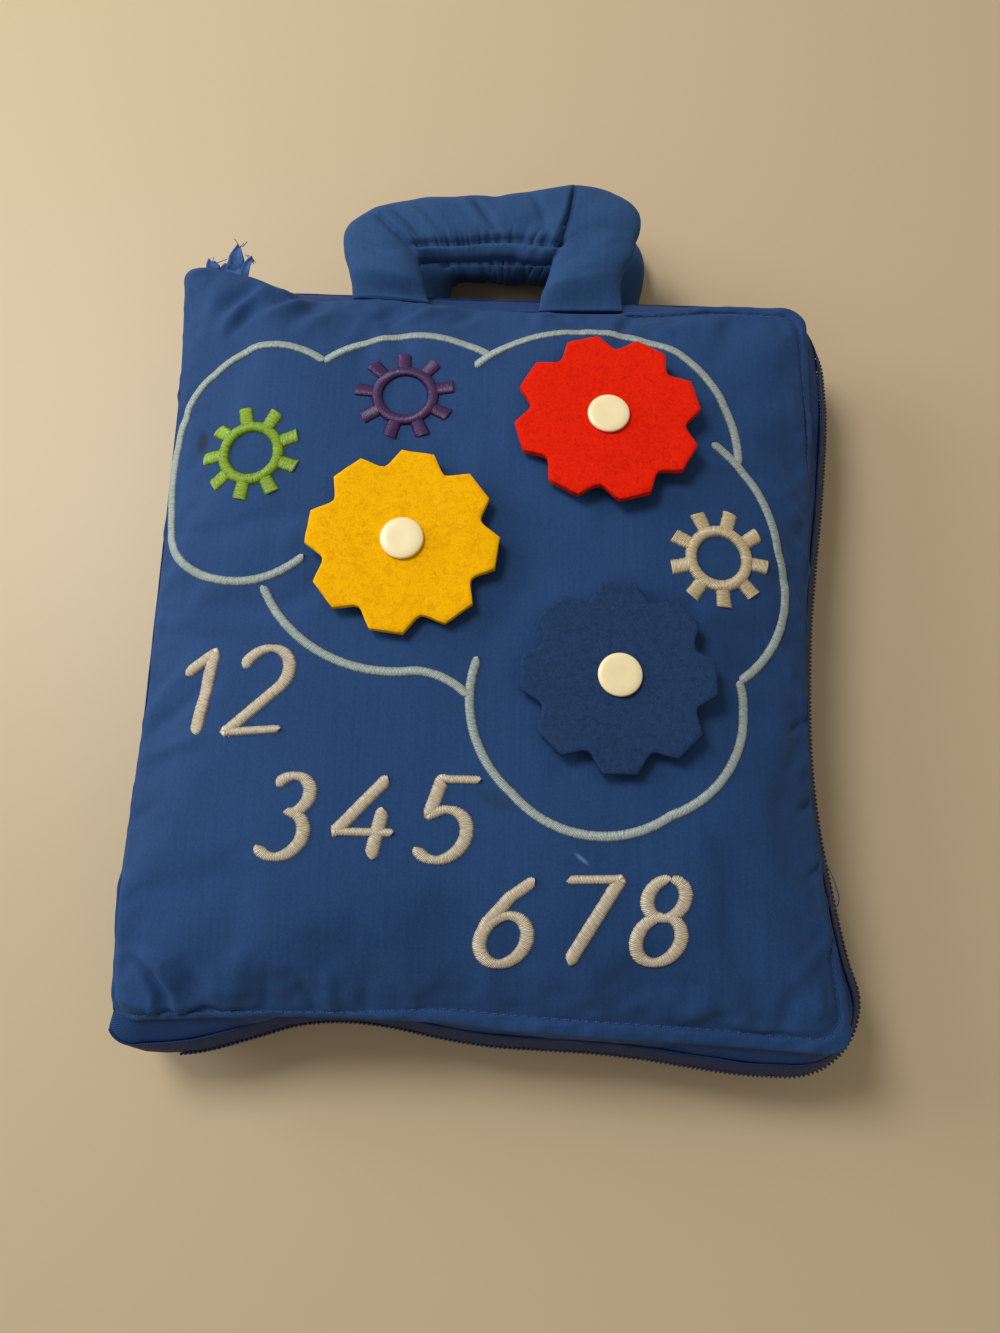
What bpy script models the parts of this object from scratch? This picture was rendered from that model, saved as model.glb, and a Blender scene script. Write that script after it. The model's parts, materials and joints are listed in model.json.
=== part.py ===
"""Quiet book: a padded cloth book that zips shut, lying on its back cover.

Metres, +Z up. The origin is the centre of the back cover's underside. +Y runs
towards the carrying handles, and the spine stands on the -X side. The front
cover carries three felt cogs that press on and spin. The cloth leaves lie
between the two covers, inside walls that meet in the zip.
"""

import math

import bmesh
import bpy
from mathutils import Matrix, Vector

MM = 0.001

# The whole book, closed
PANEL_WIDTH = 228 * MM
PANEL_HEIGHT = 256 * MM
PANEL_CORNER = 8 * MM
PANEL_PINCH = 2.4 * MM
CLOTH_GAP = 0.3 * MM

# Back cover: a slim pad, flat where it lies on the table
BACK_SEAM_HEIGHT = 8 * MM
BACK_INNER_RISE = 5.4 * MM
BACK_REST_SHARE = 0.8

# Leaves between the covers
LEAF_COUNT = 5
LEAF_THICKNESS = 3.5 * MM
LEAF_SPACE = 0.7 * MM
LEAF_MARGIN = 8.5 * MM
LEAF_CORNER = 15 * MM
LEAF_HINGE_GAP = 0.5 * MM

# Front cover: a puffy pad with a flat sewn border
FRONT_INNER_DROP = 5.4 * MM
FRONT_CROWN = 15 * MM
BORDER_THICKNESS = 2.4 * MM
FRONT_TOP_RISE = 3 * MM
EAR_HEIGHT = 9 * MM
EAR_REACH = 38 * MM
# How far the right edge stands out, at shares of the way from the middle to the top or bottom
RIGHT_SHIFTS = (
    (-1.0, 4.6 * MM),
    (-0.87, 3.3 * MM),
    (-0.68, 0.3 * MM),
    (-0.42, -2.2 * MM),
    (-0.2, -1.7 * MM),
    (0.06, -0.3 * MM),
    (0.25, 1.4 * MM),
    (0.45, 2.7 * MM),
    (0.7, 3.1 * MM),
    (1.0, 2.9 * MM),
)
# How far the low edge is lifted, at shares of the way from the middle to the spine or right edge
LOW_LIFTS = (
    (-1.0, 0.3 * MM),
    (-0.7, 1.4 * MM),
    (-0.45, 1.3 * MM),
    (-0.25, 0.1 * MM),
    (-0.1, -0.8 * MM),
    (0.05, -2.6 * MM),
    (0.25, -3.7 * MM),
    (0.65, -3.8 * MM),
    (1.0, -5.2 * MM),
)

# Spine panel
SPINE_EDGE_THICKNESS = 2.4 * MM
SPINE_BULGE = 1.8 * MM
SPINE_CORNER = 8 * MM
SPINE_TOP_REACH = 5 * MM

# Walls and zip
WALL_THICKNESS = 2.2 * MM
WALL_INSET = 2.2 * MM
WALL_START = 3 * MM
ZIP_SIDE_FLARE = 10.4 * MM
ZIP_TOP_FLARE = 6.5 * MM
ZIP_BOTTOM_FLARE = 13 * MM
ZIP_SPINE_FLARE = 2.5 * MM
ZIP_LOW_RISE = 2.8 * MM
ZIP_CORNER = 24 * MM
ZIP_END_CORNER = 12 * MM
# How far the zip is drawn in, at shares of its right side from the top and its low side from
# the right
ZIP_SIDE_INSETS = (
    (0.0, 0.0 * MM),
    (0.08, -0.2 * MM),
    (0.22, 2.7 * MM),
    (0.36, 6.5 * MM),
    (0.46, 8.7 * MM),
    (0.63, 10.0 * MM),
    (0.75, 8.6 * MM),
    (0.87, 5.2 * MM),
    (0.95, 2.4 * MM),
    (1.0, 0.0 * MM),
)
ZIP_LOW_INSETS = (
    (0.0, 0.0 * MM),
    (0.07, 1.4 * MM),
    (0.15, 4.0 * MM),
    (0.23, 6.2 * MM),
    (0.31, 7.5 * MM),
    (0.47, 8.5 * MM),
    (0.55, 10.4 * MM),
    (0.63, 13.0 * MM),
    (0.7, 14.0 * MM),
    (0.77, 13.2 * MM),
    (0.83, 9.6 * MM),
    (0.91, 3.8 * MM),
    (0.955, 1.0 * MM),
    (1.0, 0.0 * MM),
)
TAPE_LEAN = 3 * MM
TAPE_HEIGHT = 5.2 * MM
TAPE_THICKNESS = 0.9 * MM
TOOTH_PITCH = 4.6 * MM
TOOTH_ROOT = 1.1 * MM
TOOTH_LENGTH = 1.5 * MM
TOOTH_THICKNESS = 2.2 * MM
TEETH_SLIT = 1 * MM
CHAIN_START = 24 * MM
ZIP_END_DRAW = 6 * MM
STOP_LENGTH = 3 * MM
STOP_HEIGHT = 2.4 * MM
STOP_THICKNESS = 2.6 * MM

# Zip slider and its pull
SLIDER_FROM_END = 9 * MM
SLIDER_LENGTH = 10 * MM
SLIDER_FRONT_HEIGHT = 9 * MM
SLIDER_REAR_HEIGHT = 6.4 * MM
SLIDER_PLATE = 1 * MM
SLIDER_RUNNING_GAP = 0.4 * MM
SLIDER_WEB_HEIGHT = 0.4 * MM
SLIDER_WEB_LENGTH = 2.4 * MM
BAIL_REACH = 4 * MM
BAIL_WIDTH = 3 * MM
BAIL_THICKNESS = 1 * MM
PULL_BAR = 1.4 * MM
PULL_PLAY = 0.4 * MM
PULL_WINDOW = 6.4 * MM
PULL_SIDE = 1.5 * MM
PULL_LENGTH = 25 * MM
PULL_NOSE = 3 * MM

# Carrying handles, one sewn to each cover
HANDLE_CENTRE = -3 * MM
WINDOW_ROOT_WIDTH = 43 * MM
WINDOW_TOP_WIDTH = 52 * MM
WINDOW_REACH = 14.5 * MM
WINDOW_CORNER = 4 * MM
STRAP_ROOT_WIDTH = 29.5 * MM
STRAP_SIDE_WIDTH = 29 * MM
GRIP_WIDTH = 33.5 * MM
STRAP_CORNER = 17 * MM
STRAP_THICKNESS = 13 * MM
STRAP_SEAM_THICKNESS = 2.4 * MM
STRAP_SWELL = 12 * MM
HANDLE_SLANT = 12 * MM
WINDOW_SLANT = 2.5 * MM
BACK_HANDLE_SHIFT = 10 * MM
BACK_HANDLE_EXTRA_REACH = 14 * MM

# Felt cogs
COG_RADIUS = 32 * MM
COG_ROOT_RADIUS = 26.6 * MM
COG_FELT = 2.6 * MM
COG_HOLE = 1.6 * MM
COG_TEETH = 8
TOOTH_TOP_SHARE = 0.44
COGS = {
    # name: (place across and up as shares of half the panel, turn in degrees)
    "yellow": (-0.245, 0.200, -7.0),
    "red": (0.350, 0.568, 16.0),
    "blue": (0.377, -0.142, 0.0),
}

# Snaps that hold the cogs
CAP_RADIUS = 7.15 * MM
CAP_EDGE = 0.8 * MM
CAP_DOME = 0.9 * MM
POST_RADIUS = 1.1 * MM
SOCKET_RADIUS = 6.2 * MM
SOCKET_HEIGHT = 2.4 * MM
SOCKET_WEB = 0.6 * MM
STUD_FLANGE_RADIUS = 6 * MM
STUD_FLANGE = 0.7 * MM
STUD_RADIUS = 2.9 * MM
STUD_BEAD = 0.2 * MM
STUD_BORE = 1.6 * MM
SNAP_CLEARANCE = 0.35 * MM

# Frayed end of the zip tape, beside the top of the spine
FRAY_LENGTH = 21 * MM
FRAY_WIDTH = 14 * MM
FRAY_THICKNESS = 1 * MM
FRAY_TONGUE_SHARES = (0.62, 1.0, 0.74)

# How finely round forms are drawn
SIDE_STEPS = 16
SPINE_STEPS = 9
CORNER_STEPS = 4
TURN_STEPS = 16

COLOURS = {
    "cover_cotton": ((0.020, 0.095, 0.310), 0.85, 0),
    "leaf_cotton": ((0.050, 0.170, 0.420), 0.85, 0),
    "zip_nylon": ((0.008, 0.025, 0.100), 0.55, 0),
    "slider_metal": ((0.030, 0.080, 0.260), 0.35, 0.6),
    "snap_plastic": ((0.860, 0.830, 0.760), 0.35, 0),
    "felt_yellow": ((0.900, 0.480, 0.008), 0.95, 0),
    "felt_red": ((0.820, 0.020, 0.010), 0.95, 0),
    "felt_blue": ((0.012, 0.060, 0.210), 0.95, 0),
}

HALF_WIDTH = PANEL_WIDTH / 2
HALF_HEIGHT = PANEL_HEIGHT / 2
HINGE_X = -HALF_WIDTH
LEAF_HINGE_X = HINGE_X + LEAF_HINGE_GAP
LEAF_PITCH = LEAF_THICKNESS + LEAF_SPACE
BACK_INNER_HEIGHT = BACK_SEAM_HEIGHT + BACK_INNER_RISE
FRONT_INNER_HEIGHT = BACK_INNER_HEIGHT + LEAF_SPACE + LEAF_COUNT * LEAF_PITCH
FRONT_SEAM_HEIGHT = FRONT_INNER_HEIGHT + FRONT_INNER_DROP
ZIP_HEIGHT = (BACK_SEAM_HEIGHT + FRONT_SEAM_HEIGHT) / 2
ZIP_TOP_Y = HALF_HEIGHT + ZIP_TOP_FLARE


def clear_scene():
    for old in list(bpy.data.objects):
        bpy.data.objects.remove(old)


def material(name):
    made = bpy.data.materials.get(name)
    if made:
        return made
    colour, roughness, metallic = COLOURS[name]
    made = bpy.data.materials.new(name)
    made.use_nodes = True
    shader = made.node_tree.nodes["Principled BSDF"]
    shader.inputs["Base Color"].default_value = (*colour, 1)
    shader.inputs["Roughness"].default_value = roughness
    shader.inputs["Metallic"].default_value = metallic
    return made


def add_object(name, bm, finish, smooth_degrees=40):
    """A named object from a bmesh, its faces turned outwards and shaded smooth."""
    bmesh.ops.recalc_face_normals(bm, faces=bm.faces)
    mesh = bpy.data.meshes.new(name)
    bm.to_mesh(mesh)
    bm.free()
    mesh.shade_smooth()
    mesh.set_sharp_from_angle(angle=math.radians(smooth_degrees))
    mesh.materials.append(material(finish))
    made = bpy.data.objects.new(name, mesh)
    bpy.context.scene.collection.objects.link(made)
    return made


def apply_union(base, others):
    """Joins the other objects into base with exact Booleans and removes them."""
    for other in others:
        joined = base.modifiers.new("join", "BOOLEAN")
        joined.operation = "UNION"
        joined.object = other
        joined.solver = "EXACT"
    depsgraph = bpy.context.evaluated_depsgraph_get()
    mesh = bpy.data.meshes.new_from_object(base.evaluated_get(depsgraph))
    base.modifiers.clear()
    base.data = mesh
    for other in others:
        bpy.data.objects.remove(other)
    return base


def smooth_share(value):
    """0 to 1 with level ends, for a value that runs from 0 to 1."""
    value = min(1, max(0, value))
    return value * value * (3 - 2 * value)


def table_value(table, place):
    """A smooth curve through a table's values, level beyond its ends."""
    places = [row[0] for row in table]
    values = [row[1] for row in table]
    if place <= places[0] or place >= places[-1]:
        return values[0] if place <= places[0] else values[-1]
    slopes = [0.0]
    for k in range(1, len(table) - 1):
        slopes.append((values[k + 1] - values[k - 1]) / (places[k + 1] - places[k - 1]))
    slopes.append(0.0)
    low = max(k for k in range(len(table) - 1) if places[k] <= place)
    span = places[low + 1] - places[low]
    share = (place - places[low]) / span
    near, far = (1 - share) ** 2, share**2
    return (
        values[low] * near * (1 + 2 * share)
        + slopes[low] * span * near * share
        + values[low + 1] * far * (3 - 2 * share)
        - slopes[low + 1] * span * far * (1 - share)
    )


def pinched(depth):
    """Draws the middle of an edge in by this much, with level ends."""
    return lambda share: depth * math.sin(math.pi * share) ** 2


def drawn_by(table):
    return lambda share: table_value(table, share)


def edge_run(start, end, inset=None, steps=SIDE_STEPS):
    """Points from start up to end, drawn in to the right of the way by inset(share)."""
    along = end - start
    inward = Vector((along.y, -along.x)).normalized()
    points = []
    for i in range(steps):
        share = i / steps
        points.append(start + along * share + inward * (inset(share) if inset else 0))
    return points


def corner_arc(centre, radius, start_degrees, steps=CORNER_STEPS):
    """A quarter turn clockwise, up to its end."""
    points = []
    for i in range(steps):
        angle = math.radians(start_degrees - 90 * i / steps)
        points.append(centre + radius * Vector((math.cos(angle), math.sin(angle))))
    return points


def open_rim(lefts, right, lows, top, corner, insets):
    """The three sides that open, from the spine along the top, right and low side and back.

    lefts is where the top side starts and the low side ends; lows is how low the low side lies
    at its right and at its left.
    """
    top_inset, right_inset, low_inset = insets
    top_left, low_left = lefts
    low_at_right, low_at_left = lows
    top_corner = Vector((right - corner, top - corner))
    low_corner = Vector((right - corner, low_at_right + corner))
    end = Vector((low_left, low_at_left))
    points = edge_run(Vector((top_left, top)), Vector((right - corner, top)), top_inset)
    points += corner_arc(top_corner, corner, 90)
    points += edge_run(
        Vector((right, top - corner)), Vector((right, low_at_right + corner)), right_inset
    )
    points += corner_arc(low_corner, corner, 0)
    points += edge_run(Vector((right - corner, low_at_right)), end, low_inset)
    points.append(end)
    return points


def spine_side(left, bottom, top, corner):
    """What closes an open rim: the corner, the straight side at the spine and the corner."""
    points = corner_arc(Vector((left + corner, bottom + corner)), corner, 270)[1:]
    points += edge_run(
        Vector((left, bottom + corner)), Vector((left, top - corner)), None, SPINE_STEPS
    )
    points += corner_arc(Vector((left + corner, top - corner)), corner, 180)
    return points


def cover_outline(spine_corner):
    """The sewn edge of a cover, clockwise from the top of the spine."""
    left = HINGE_X + CLOTH_GAP / 2
    rim = open_rim(
        (left + spine_corner, left + spine_corner),
        HALF_WIDTH,
        (-HALF_HEIGHT, -HALF_HEIGHT),
        HALF_HEIGHT,
        PANEL_CORNER,
        (pinched(PANEL_PINCH),) * 3,
    )
    return rim + spine_side(left, -HALF_HEIGHT, HALF_HEIGHT, spine_corner)


def front_drape(point):
    """The front cover's own shape: an ear at the top of the spine, and uneven free edges."""
    above = smooth_share(point.y / HALF_HEIGHT)
    below = smooth_share(-point.y / HALF_HEIGHT)
    across = smooth_share((point.x - HINGE_X) / PANEL_WIDTH)
    eared = smooth_share((HINGE_X + EAR_REACH - point.x) / EAR_REACH)
    rise = above * (FRONT_TOP_RISE + EAR_HEIGHT * eared)
    rise += below * table_value(LOW_LIFTS, point.x / HALF_WIDTH)
    return point + Vector((across * table_value(RIGHT_SHIFTS, point.y / HALF_HEIGHT), rise))


def front_outline():
    return [front_drape(point) for point in cover_outline(PANEL_CORNER)]


END_ARC_SHARE = 0.75


def round_end(centre, radius):
    """Most of a quarter turn round the low corner by the spine."""
    arc = corner_arc(centre, radius, 270, 2 * CORNER_STEPS)
    return arc[1 : int(END_ARC_SHARE * len(arc)) + 1]


def wall_rim(front):
    """Where a wall is sewn under a cover's border, on the three sides that open."""
    left = HINGE_X + WALL_INSET
    low = -HALF_HEIGHT + WALL_INSET
    rim = open_rim(
        (HINGE_X + WALL_START, left + PANEL_CORNER),
        HALF_WIDTH - WALL_INSET,
        (low, low),
        HALF_HEIGHT - WALL_INSET,
        PANEL_CORNER,
        (pinched(PANEL_PINCH),) * 3,
    )
    rim += round_end(Vector((left + PANEL_CORNER, low + PANEL_CORNER)), PANEL_CORNER)
    return [front_drape(point) for point in rim] if front else rim


def zip_rim(lean=0):
    """The zip's line: straight along the top, where the slider runs, and wavy elsewhere.

    lean draws it in, apart from the top side, for the tape's sewn edge.
    """
    low = -HALF_HEIGHT - ZIP_BOTTOM_FLARE
    end = Vector((HINGE_X - ZIP_SPINE_FLARE + ZIP_END_CORNER, low + ZIP_LOW_RISE))
    rim = open_rim(
        (HINGE_X + WALL_START, end.x),
        HALF_WIDTH + ZIP_SIDE_FLARE,
        (low, end.y),
        ZIP_TOP_Y,
        ZIP_CORNER,
        (None, drawn_by(ZIP_SIDE_INSETS), drawn_by(ZIP_LOW_INSETS)),
    )
    rim += round_end(end + Vector((0, ZIP_END_CORNER)), ZIP_END_CORNER)
    # The top end is drawn in towards the spine, before the chain starts.
    for i in range(SIDE_STEPS):
        share = smooth_share(1 - (rim[i].x - rim[0].x) / CHAIN_START)
        rim[i] = rim[i] - Vector((0, ZIP_END_DRAW * share))
    leans = [lean * smooth_share((i - SIDE_STEPS) / CORNER_STEPS) for i in range(len(rim))]
    return [point - out * own for point, out, own in zip(rim, outward_normals(rim), leans)]


def centre_of(points):
    low = Vector((min(p.x for p in points), min(p.y for p in points)))
    high = Vector((max(p.x for p in points), max(p.y for p in points)))
    return (low + high) / 2


def pillow(name, outline, shares, upper, lower, finish, place=None):
    """A closed pad: the outline drawn in ring by ring, with a height above and below for each."""
    bm = bmesh.new()
    centre = centre_of(outline)
    loops = []
    for height in (upper, lower):
        rings = []
        for share in shares:
            ring = [centre + (point - centre) * share for point in outline]
            rings.append([bm.verts.new((p.x, p.y, height(share))) for p in ring])
        loops.append(rings)
        for outer, inner in zip(rings, rings[1:]):
            join_rings(bm, outer, inner)
        middle = bm.verts.new((centre.x, centre.y, height(0)))
        last = rings[-1]
        for i, vert in enumerate(last):
            bm.faces.new((vert, last[(i + 1) % len(last)], middle))
    join_rings(bm, loops[0][0], loops[1][0])
    if place:
        bm.transform(place)
    return add_object(name, bm, finish)


def join_rings(bm, first, second):
    count = len(first)
    for i in range(count):
        following = (i + 1) % count
        bm.faces.new((first[i], first[following], second[following], second[i]))


def crown_share(share):
    """How high a puffy pad stands at a share of the way from its middle to its border."""
    within = min(1, share / BORDER_SHARE)
    return (1 - within**3.4) ** 0.6


FRONT_SHARES = (1.0, 0.962, 0.95, 0.925, 0.88, 0.81, 0.7, 0.54, 0.3)
BACK_SHARES = (1.0, 0.962, 0.94, 0.88, 0.8, 0.6)
BORDER_SHARE = 0.962
HALF_BORDER = BORDER_THICKNESS / 2


def front_upper(share):
    return FRONT_SEAM_HEIGHT + HALF_BORDER + FRONT_CROWN * crown_share(share)


def front_lower(share):
    swell = (FRONT_INNER_DROP - HALF_BORDER) * crown_share(share)
    return FRONT_SEAM_HEIGHT - HALF_BORDER - swell


def back_upper(share):
    swell = (BACK_INNER_RISE - HALF_BORDER) * crown_share(share)
    return BACK_SEAM_HEIGHT + HALF_BORDER + swell


def back_lower(share):
    """Level at zero over the middle, where the pad is pressed flat on the table."""
    outside = max(0, (share - BACK_REST_SHARE) / (1 - BACK_REST_SHARE))
    return (BACK_SEAM_HEIGHT - HALF_BORDER) * min(1, outside) ** 2


def share_at(outline, x, y):
    """The share of the way from the outline's middle to the outline at this place."""
    centre = centre_of(outline)
    way = Vector((x, y)) - centre
    for start, end in zip(outline, outline[1:] + outline[:1]):
        a, b = start - centre, end - centre
        side = b - a
        across = way.x * side.y - way.y * side.x
        if not across:
            continue
        along = (a.x * way.y - a.y * way.x) / across
        reach = (a.x * side.y - a.y * side.x) / across
        if 0 <= along <= 1 and reach > 0:
            return 1 / reach
    return 0


def front_height(x, y):
    return front_upper(share_at(front_outline(), x, y))


def front_frame(x, y):
    """The place and tilt of the front cover's face at x, y, as a matrix with its Z outwards."""
    step = COG_ROOT_RADIUS / 4
    slope_x = (front_height(x + step, y) - front_height(x - step, y)) / (2 * step)
    slope_y = (front_height(x, y + step) - front_height(x, y - step)) / (2 * step)
    up = Vector((-slope_x, -slope_y, 1)).normalized()
    across = Vector((1, 0, slope_x)).normalized()
    along = up.cross(across)
    turned = Matrix((across, along, up)).transposed().to_4x4()
    return Matrix.Translation((x, y, front_height(x, y))) @ turned


def make_covers():
    pillow("front_cover", front_outline(), FRONT_SHARES, front_upper, front_lower, "cover_cotton")
    pillow(
        "back_cover",
        cover_outline(PANEL_CORNER),
        BACK_SHARES,
        back_upper,
        back_lower,
        "cover_cotton",
    )


LEAF_SHARES = (1.0, 0.97, 0.9, 0.6)
LEAF_HEIGHT_SHARES = {1.0: 0.35, 0.97: 0.62, 0.9: 0.92, 0.6: 1.0, 0: 1.0}


def leaf_height(index):
    """The middle of a leaf. Leaf 1 is the top one."""
    return FRONT_INNER_HEIGHT - LEAF_SPACE - LEAF_THICKNESS / 2 - (index - 1) * LEAF_PITCH


def leaf_half_thickness(share):
    return LEAF_THICKNESS / 2 * LEAF_HEIGHT_SHARES[share]


def make_leaves():
    left = LEAF_HINGE_X + CLOTH_GAP
    right = HALF_WIDTH - LEAF_MARGIN
    top = HALF_HEIGHT - LEAF_MARGIN
    rim = [
        *edge_run(Vector((left, top)), Vector((right - LEAF_CORNER, top)), None, 4),
        *corner_arc(Vector((right - LEAF_CORNER, top - LEAF_CORNER)), LEAF_CORNER, 90),
        *edge_run(
            Vector((right, top - LEAF_CORNER)), Vector((right, LEAF_CORNER - top)), None, 4
        ),
        *corner_arc(Vector((right - LEAF_CORNER, LEAF_CORNER - top)), LEAF_CORNER, 0),
        *edge_run(Vector((right - LEAF_CORNER, -top)), Vector((left, -top)), None, 4),
        *edge_run(Vector((left, -top)), Vector((left, top)), None, 4),
    ]
    for index in range(1, LEAF_COUNT + 1):
        middle = leaf_height(index)
        pillow(
            f"page_{index}",
            rim,
            LEAF_SHARES,
            lambda share, middle=middle: middle + leaf_half_thickness(share),
            lambda share, middle=middle: middle - leaf_half_thickness(share),
            "leaf_cotton",
        )


def make_spine():
    """A padded strip, flat inside and bulging out, between the two hinge seams."""
    low = BACK_SEAM_HEIGHT + CLOTH_GAP
    high = FRONT_SEAM_HEIGHT - CLOTH_GAP
    bottom = -HALF_HEIGHT
    top = HALF_HEIGHT + SPINE_TOP_REACH
    corner = min(SPINE_CORNER, (high - low) / 3)
    outline = [
        *edge_run(Vector((bottom + corner, high)), Vector((top - corner, high)), None, SPINE_STEPS),
        *corner_arc(Vector((top - corner, high - corner)), corner, 90),
        *edge_run(Vector((top, high - corner)), Vector((top, low + corner)), None, 2),
        *corner_arc(Vector((top - corner, low + corner)), corner, 0),
        *edge_run(Vector((top - corner, low)), Vector((bottom + corner, low)), None, SPINE_STEPS),
        *corner_arc(Vector((bottom + corner, low + corner)), corner, 270),
        *edge_run(Vector((bottom, low + corner)), Vector((bottom, high - corner)), None, 2),
        *corner_arc(Vector((bottom + corner, high - corner)), corner, 180),
    ]
    # The pad is drawn in the plane of the spine, with its crown facing away from the leaves.
    place = Matrix(((0, 0, -1, HINGE_X - CLOTH_GAP / 2), (1, 0, 0, 0), (0, 1, 0, 0), (0, 0, 0, 1)))
    pillow(
        "spine_panel",
        outline,
        (1.0, 0.93, 0.75, 0.45),
        lambda share: SPINE_EDGE_THICKNESS + SPINE_BULGE * (1 - share**2.4),
        lambda share: 0,
        "cover_cotton",
        place,
    )


def outward_normals(path):
    """The level direction out of the book at each point of a path that runs clockwise."""
    normals = []
    for i in range(len(path)):
        along = path[min(i + 1, len(path) - 1)] - path[max(i - 1, 0)]
        normals.append(Vector((-along.y, along.x)).normalized())
    return normals


def band(name, low_path, low_z, high_path, high_z, thickness, finish):
    """A strip of cloth standing on edge between two paths, closed at its ends."""
    bm = bmesh.new()
    rings = []
    normals = outward_normals(low_path)
    for low, high, normal in zip(low_path, high_path, normals):
        half = normal * thickness / 2
        corners = (
            (low + half, low_z),
            (high + half, high_z),
            (high - half, high_z),
            (low - half, low_z),
        )
        rings.append([bm.verts.new((p.x, p.y, z)) for p, z in corners])
    for first, second in zip(rings, rings[1:]):
        join_rings(bm, first, second)
    bm.faces.new(rings[0])
    bm.faces.new(rings[-1])
    return add_object(name, bm, finish)


def make_wall(name, front):
    """The wall between a cover's border and its half of the zip."""
    side = 1 if front else -1
    seam = FRONT_SEAM_HEIGHT if front else BACK_SEAM_HEIGHT
    sewn_z = seam - side * (HALF_BORDER + CLOTH_GAP)
    tape_z = ZIP_HEIGHT + side * (TAPE_TOP + CLOTH_GAP)
    band(name, zip_rim(TAPE_LEAN), tape_z, wall_rim(front), sewn_z, WALL_THICKNESS, "cover_cotton")


TIP_OFFSET = TEETH_SLIT / 2
ROOT_OFFSET = TIP_OFFSET + TOOTH_LENGTH
CHAIN_OUTER = ROOT_OFFSET + TOOTH_ROOT
TAPE_TOP = CHAIN_OUTER + CLOTH_GAP + TAPE_HEIGHT


def make_tape(name, front):
    side = 1 if front else -1
    low_z = ZIP_HEIGHT + side * (CHAIN_OUTER + CLOTH_GAP)
    high_z = ZIP_HEIGHT + side * TAPE_TOP
    band(name, zip_rim(), low_z, zip_rim(TAPE_LEAN), high_z, TAPE_THICKNESS, "zip_nylon")


def chain_path(spacing):
    """The zip's line in even steps, from the closed end by the spine to the other."""
    rim = zip_rim()
    lengths = [0]
    for start, end in zip(rim, rim[1:]):
        lengths.append(lengths[-1] + (end - start).length)
    first = CHAIN_START
    last = lengths[-1] - CHAIN_START
    count = 2 * int((last - first) / (2 * spacing))
    points = []
    place = 0
    for i in range(count + 1):
        wanted = first + (last - first) * i / count
        while place < len(rim) - 2 and lengths[place + 1] < wanted:
            place += 1
        share = (wanted - lengths[place]) / (lengths[place + 1] - lengths[place])
        points.append(rim[place].lerp(rim[place + 1], share))
    return points


def make_teeth(name, front):
    """Half of the zip's chain: a bead with a tooth at every second step, facing the other half."""
    side = 1 if front else -1
    path = chain_path(TOOTH_PITCH / 2)
    bm = bmesh.new()
    rings = []
    for i, (point, normal) in enumerate(zip(path, outward_normals(path))):
        is_tooth = i % 2 == (0 if front else 1)
        offset = TIP_OFFSET if is_tooth else ROOT_OFFSET
        half = normal * TOOTH_THICKNESS / 2
        corners = ((point + half, CHAIN_OUTER), (point, offset), (point - half, CHAIN_OUTER))
        rings.append([bm.verts.new((p.x, p.y, ZIP_HEIGHT + side * z)) for p, z in corners])
    for first, second in zip(rings, rings[1:]):
        join_rings(bm, first, second)
    bm.faces.new(rings[0])
    bm.faces.new(rings[-1])
    add_object(name, bm, "zip_nylon", 30)


def box(name, low, high, finish):
    bm = bmesh.new()
    bmesh.ops.create_cube(bm, size=1)
    for vert in bm.verts:
        vert.co = Vector(
            low[axis] if vert.co[axis] < 0 else high[axis] for axis in range(3)
        )
    return add_object(name, bm, finish, 30)


def make_stops():
    """Moulded stops at the chain's ends: one on each tape by the slider, a box at the far end."""
    first, *_, last = chain_path(TOOTH_PITCH / 2)
    right = first.x - CLOTH_GAP
    half = STOP_THICKNESS / 2
    box(
        "bottom_stop",
        (last.x - CLOTH_GAP - 2 * STOP_LENGTH, last.y - half, ZIP_HEIGHT - STOP_HEIGHT),
        (last.x - CLOTH_GAP, last.y + half, ZIP_HEIGHT + STOP_HEIGHT),
        "zip_nylon",
    )
    for name, side in (("front_top_stop", 1), ("back_top_stop", -1)):
        near = ZIP_HEIGHT + side * TIP_OFFSET
        far = near + side * STOP_HEIGHT
        box(
            name,
            (right - STOP_LENGTH, ZIP_TOP_Y - half, min(near, far)),
            (right, ZIP_TOP_Y + half, max(near, far)),
            "zip_nylon",
        )


def plate(name, outline, low, high, finish):
    """A flat plate: its outline in x and z, from one y to another."""
    bm = bmesh.new()
    bottom = [bm.verts.new((x, low, z)) for x, z in outline]
    top = [bm.verts.new((x, high, z)) for x, z in outline]
    bm.faces.new(bottom)
    bm.faces.new(top)
    join_rings(bm, bottom, top)
    return add_object(name, bm, finish, 30)


SLIDER_X = HINGE_X + WALL_START + CHAIN_START + SLIDER_FROM_END
SLIDER_HALF_GAP = TOOTH_THICKNESS / 2 + SLIDER_RUNNING_GAP
SLIDER_FACE = SLIDER_HALF_GAP + SLIDER_PLATE
PIVOT_Y = ZIP_TOP_Y + SLIDER_FACE + PULL_PLAY + PULL_BAR / 2
BAIL_INNER = PIVOT_Y + PULL_BAR / 2 + PULL_PLAY


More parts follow.
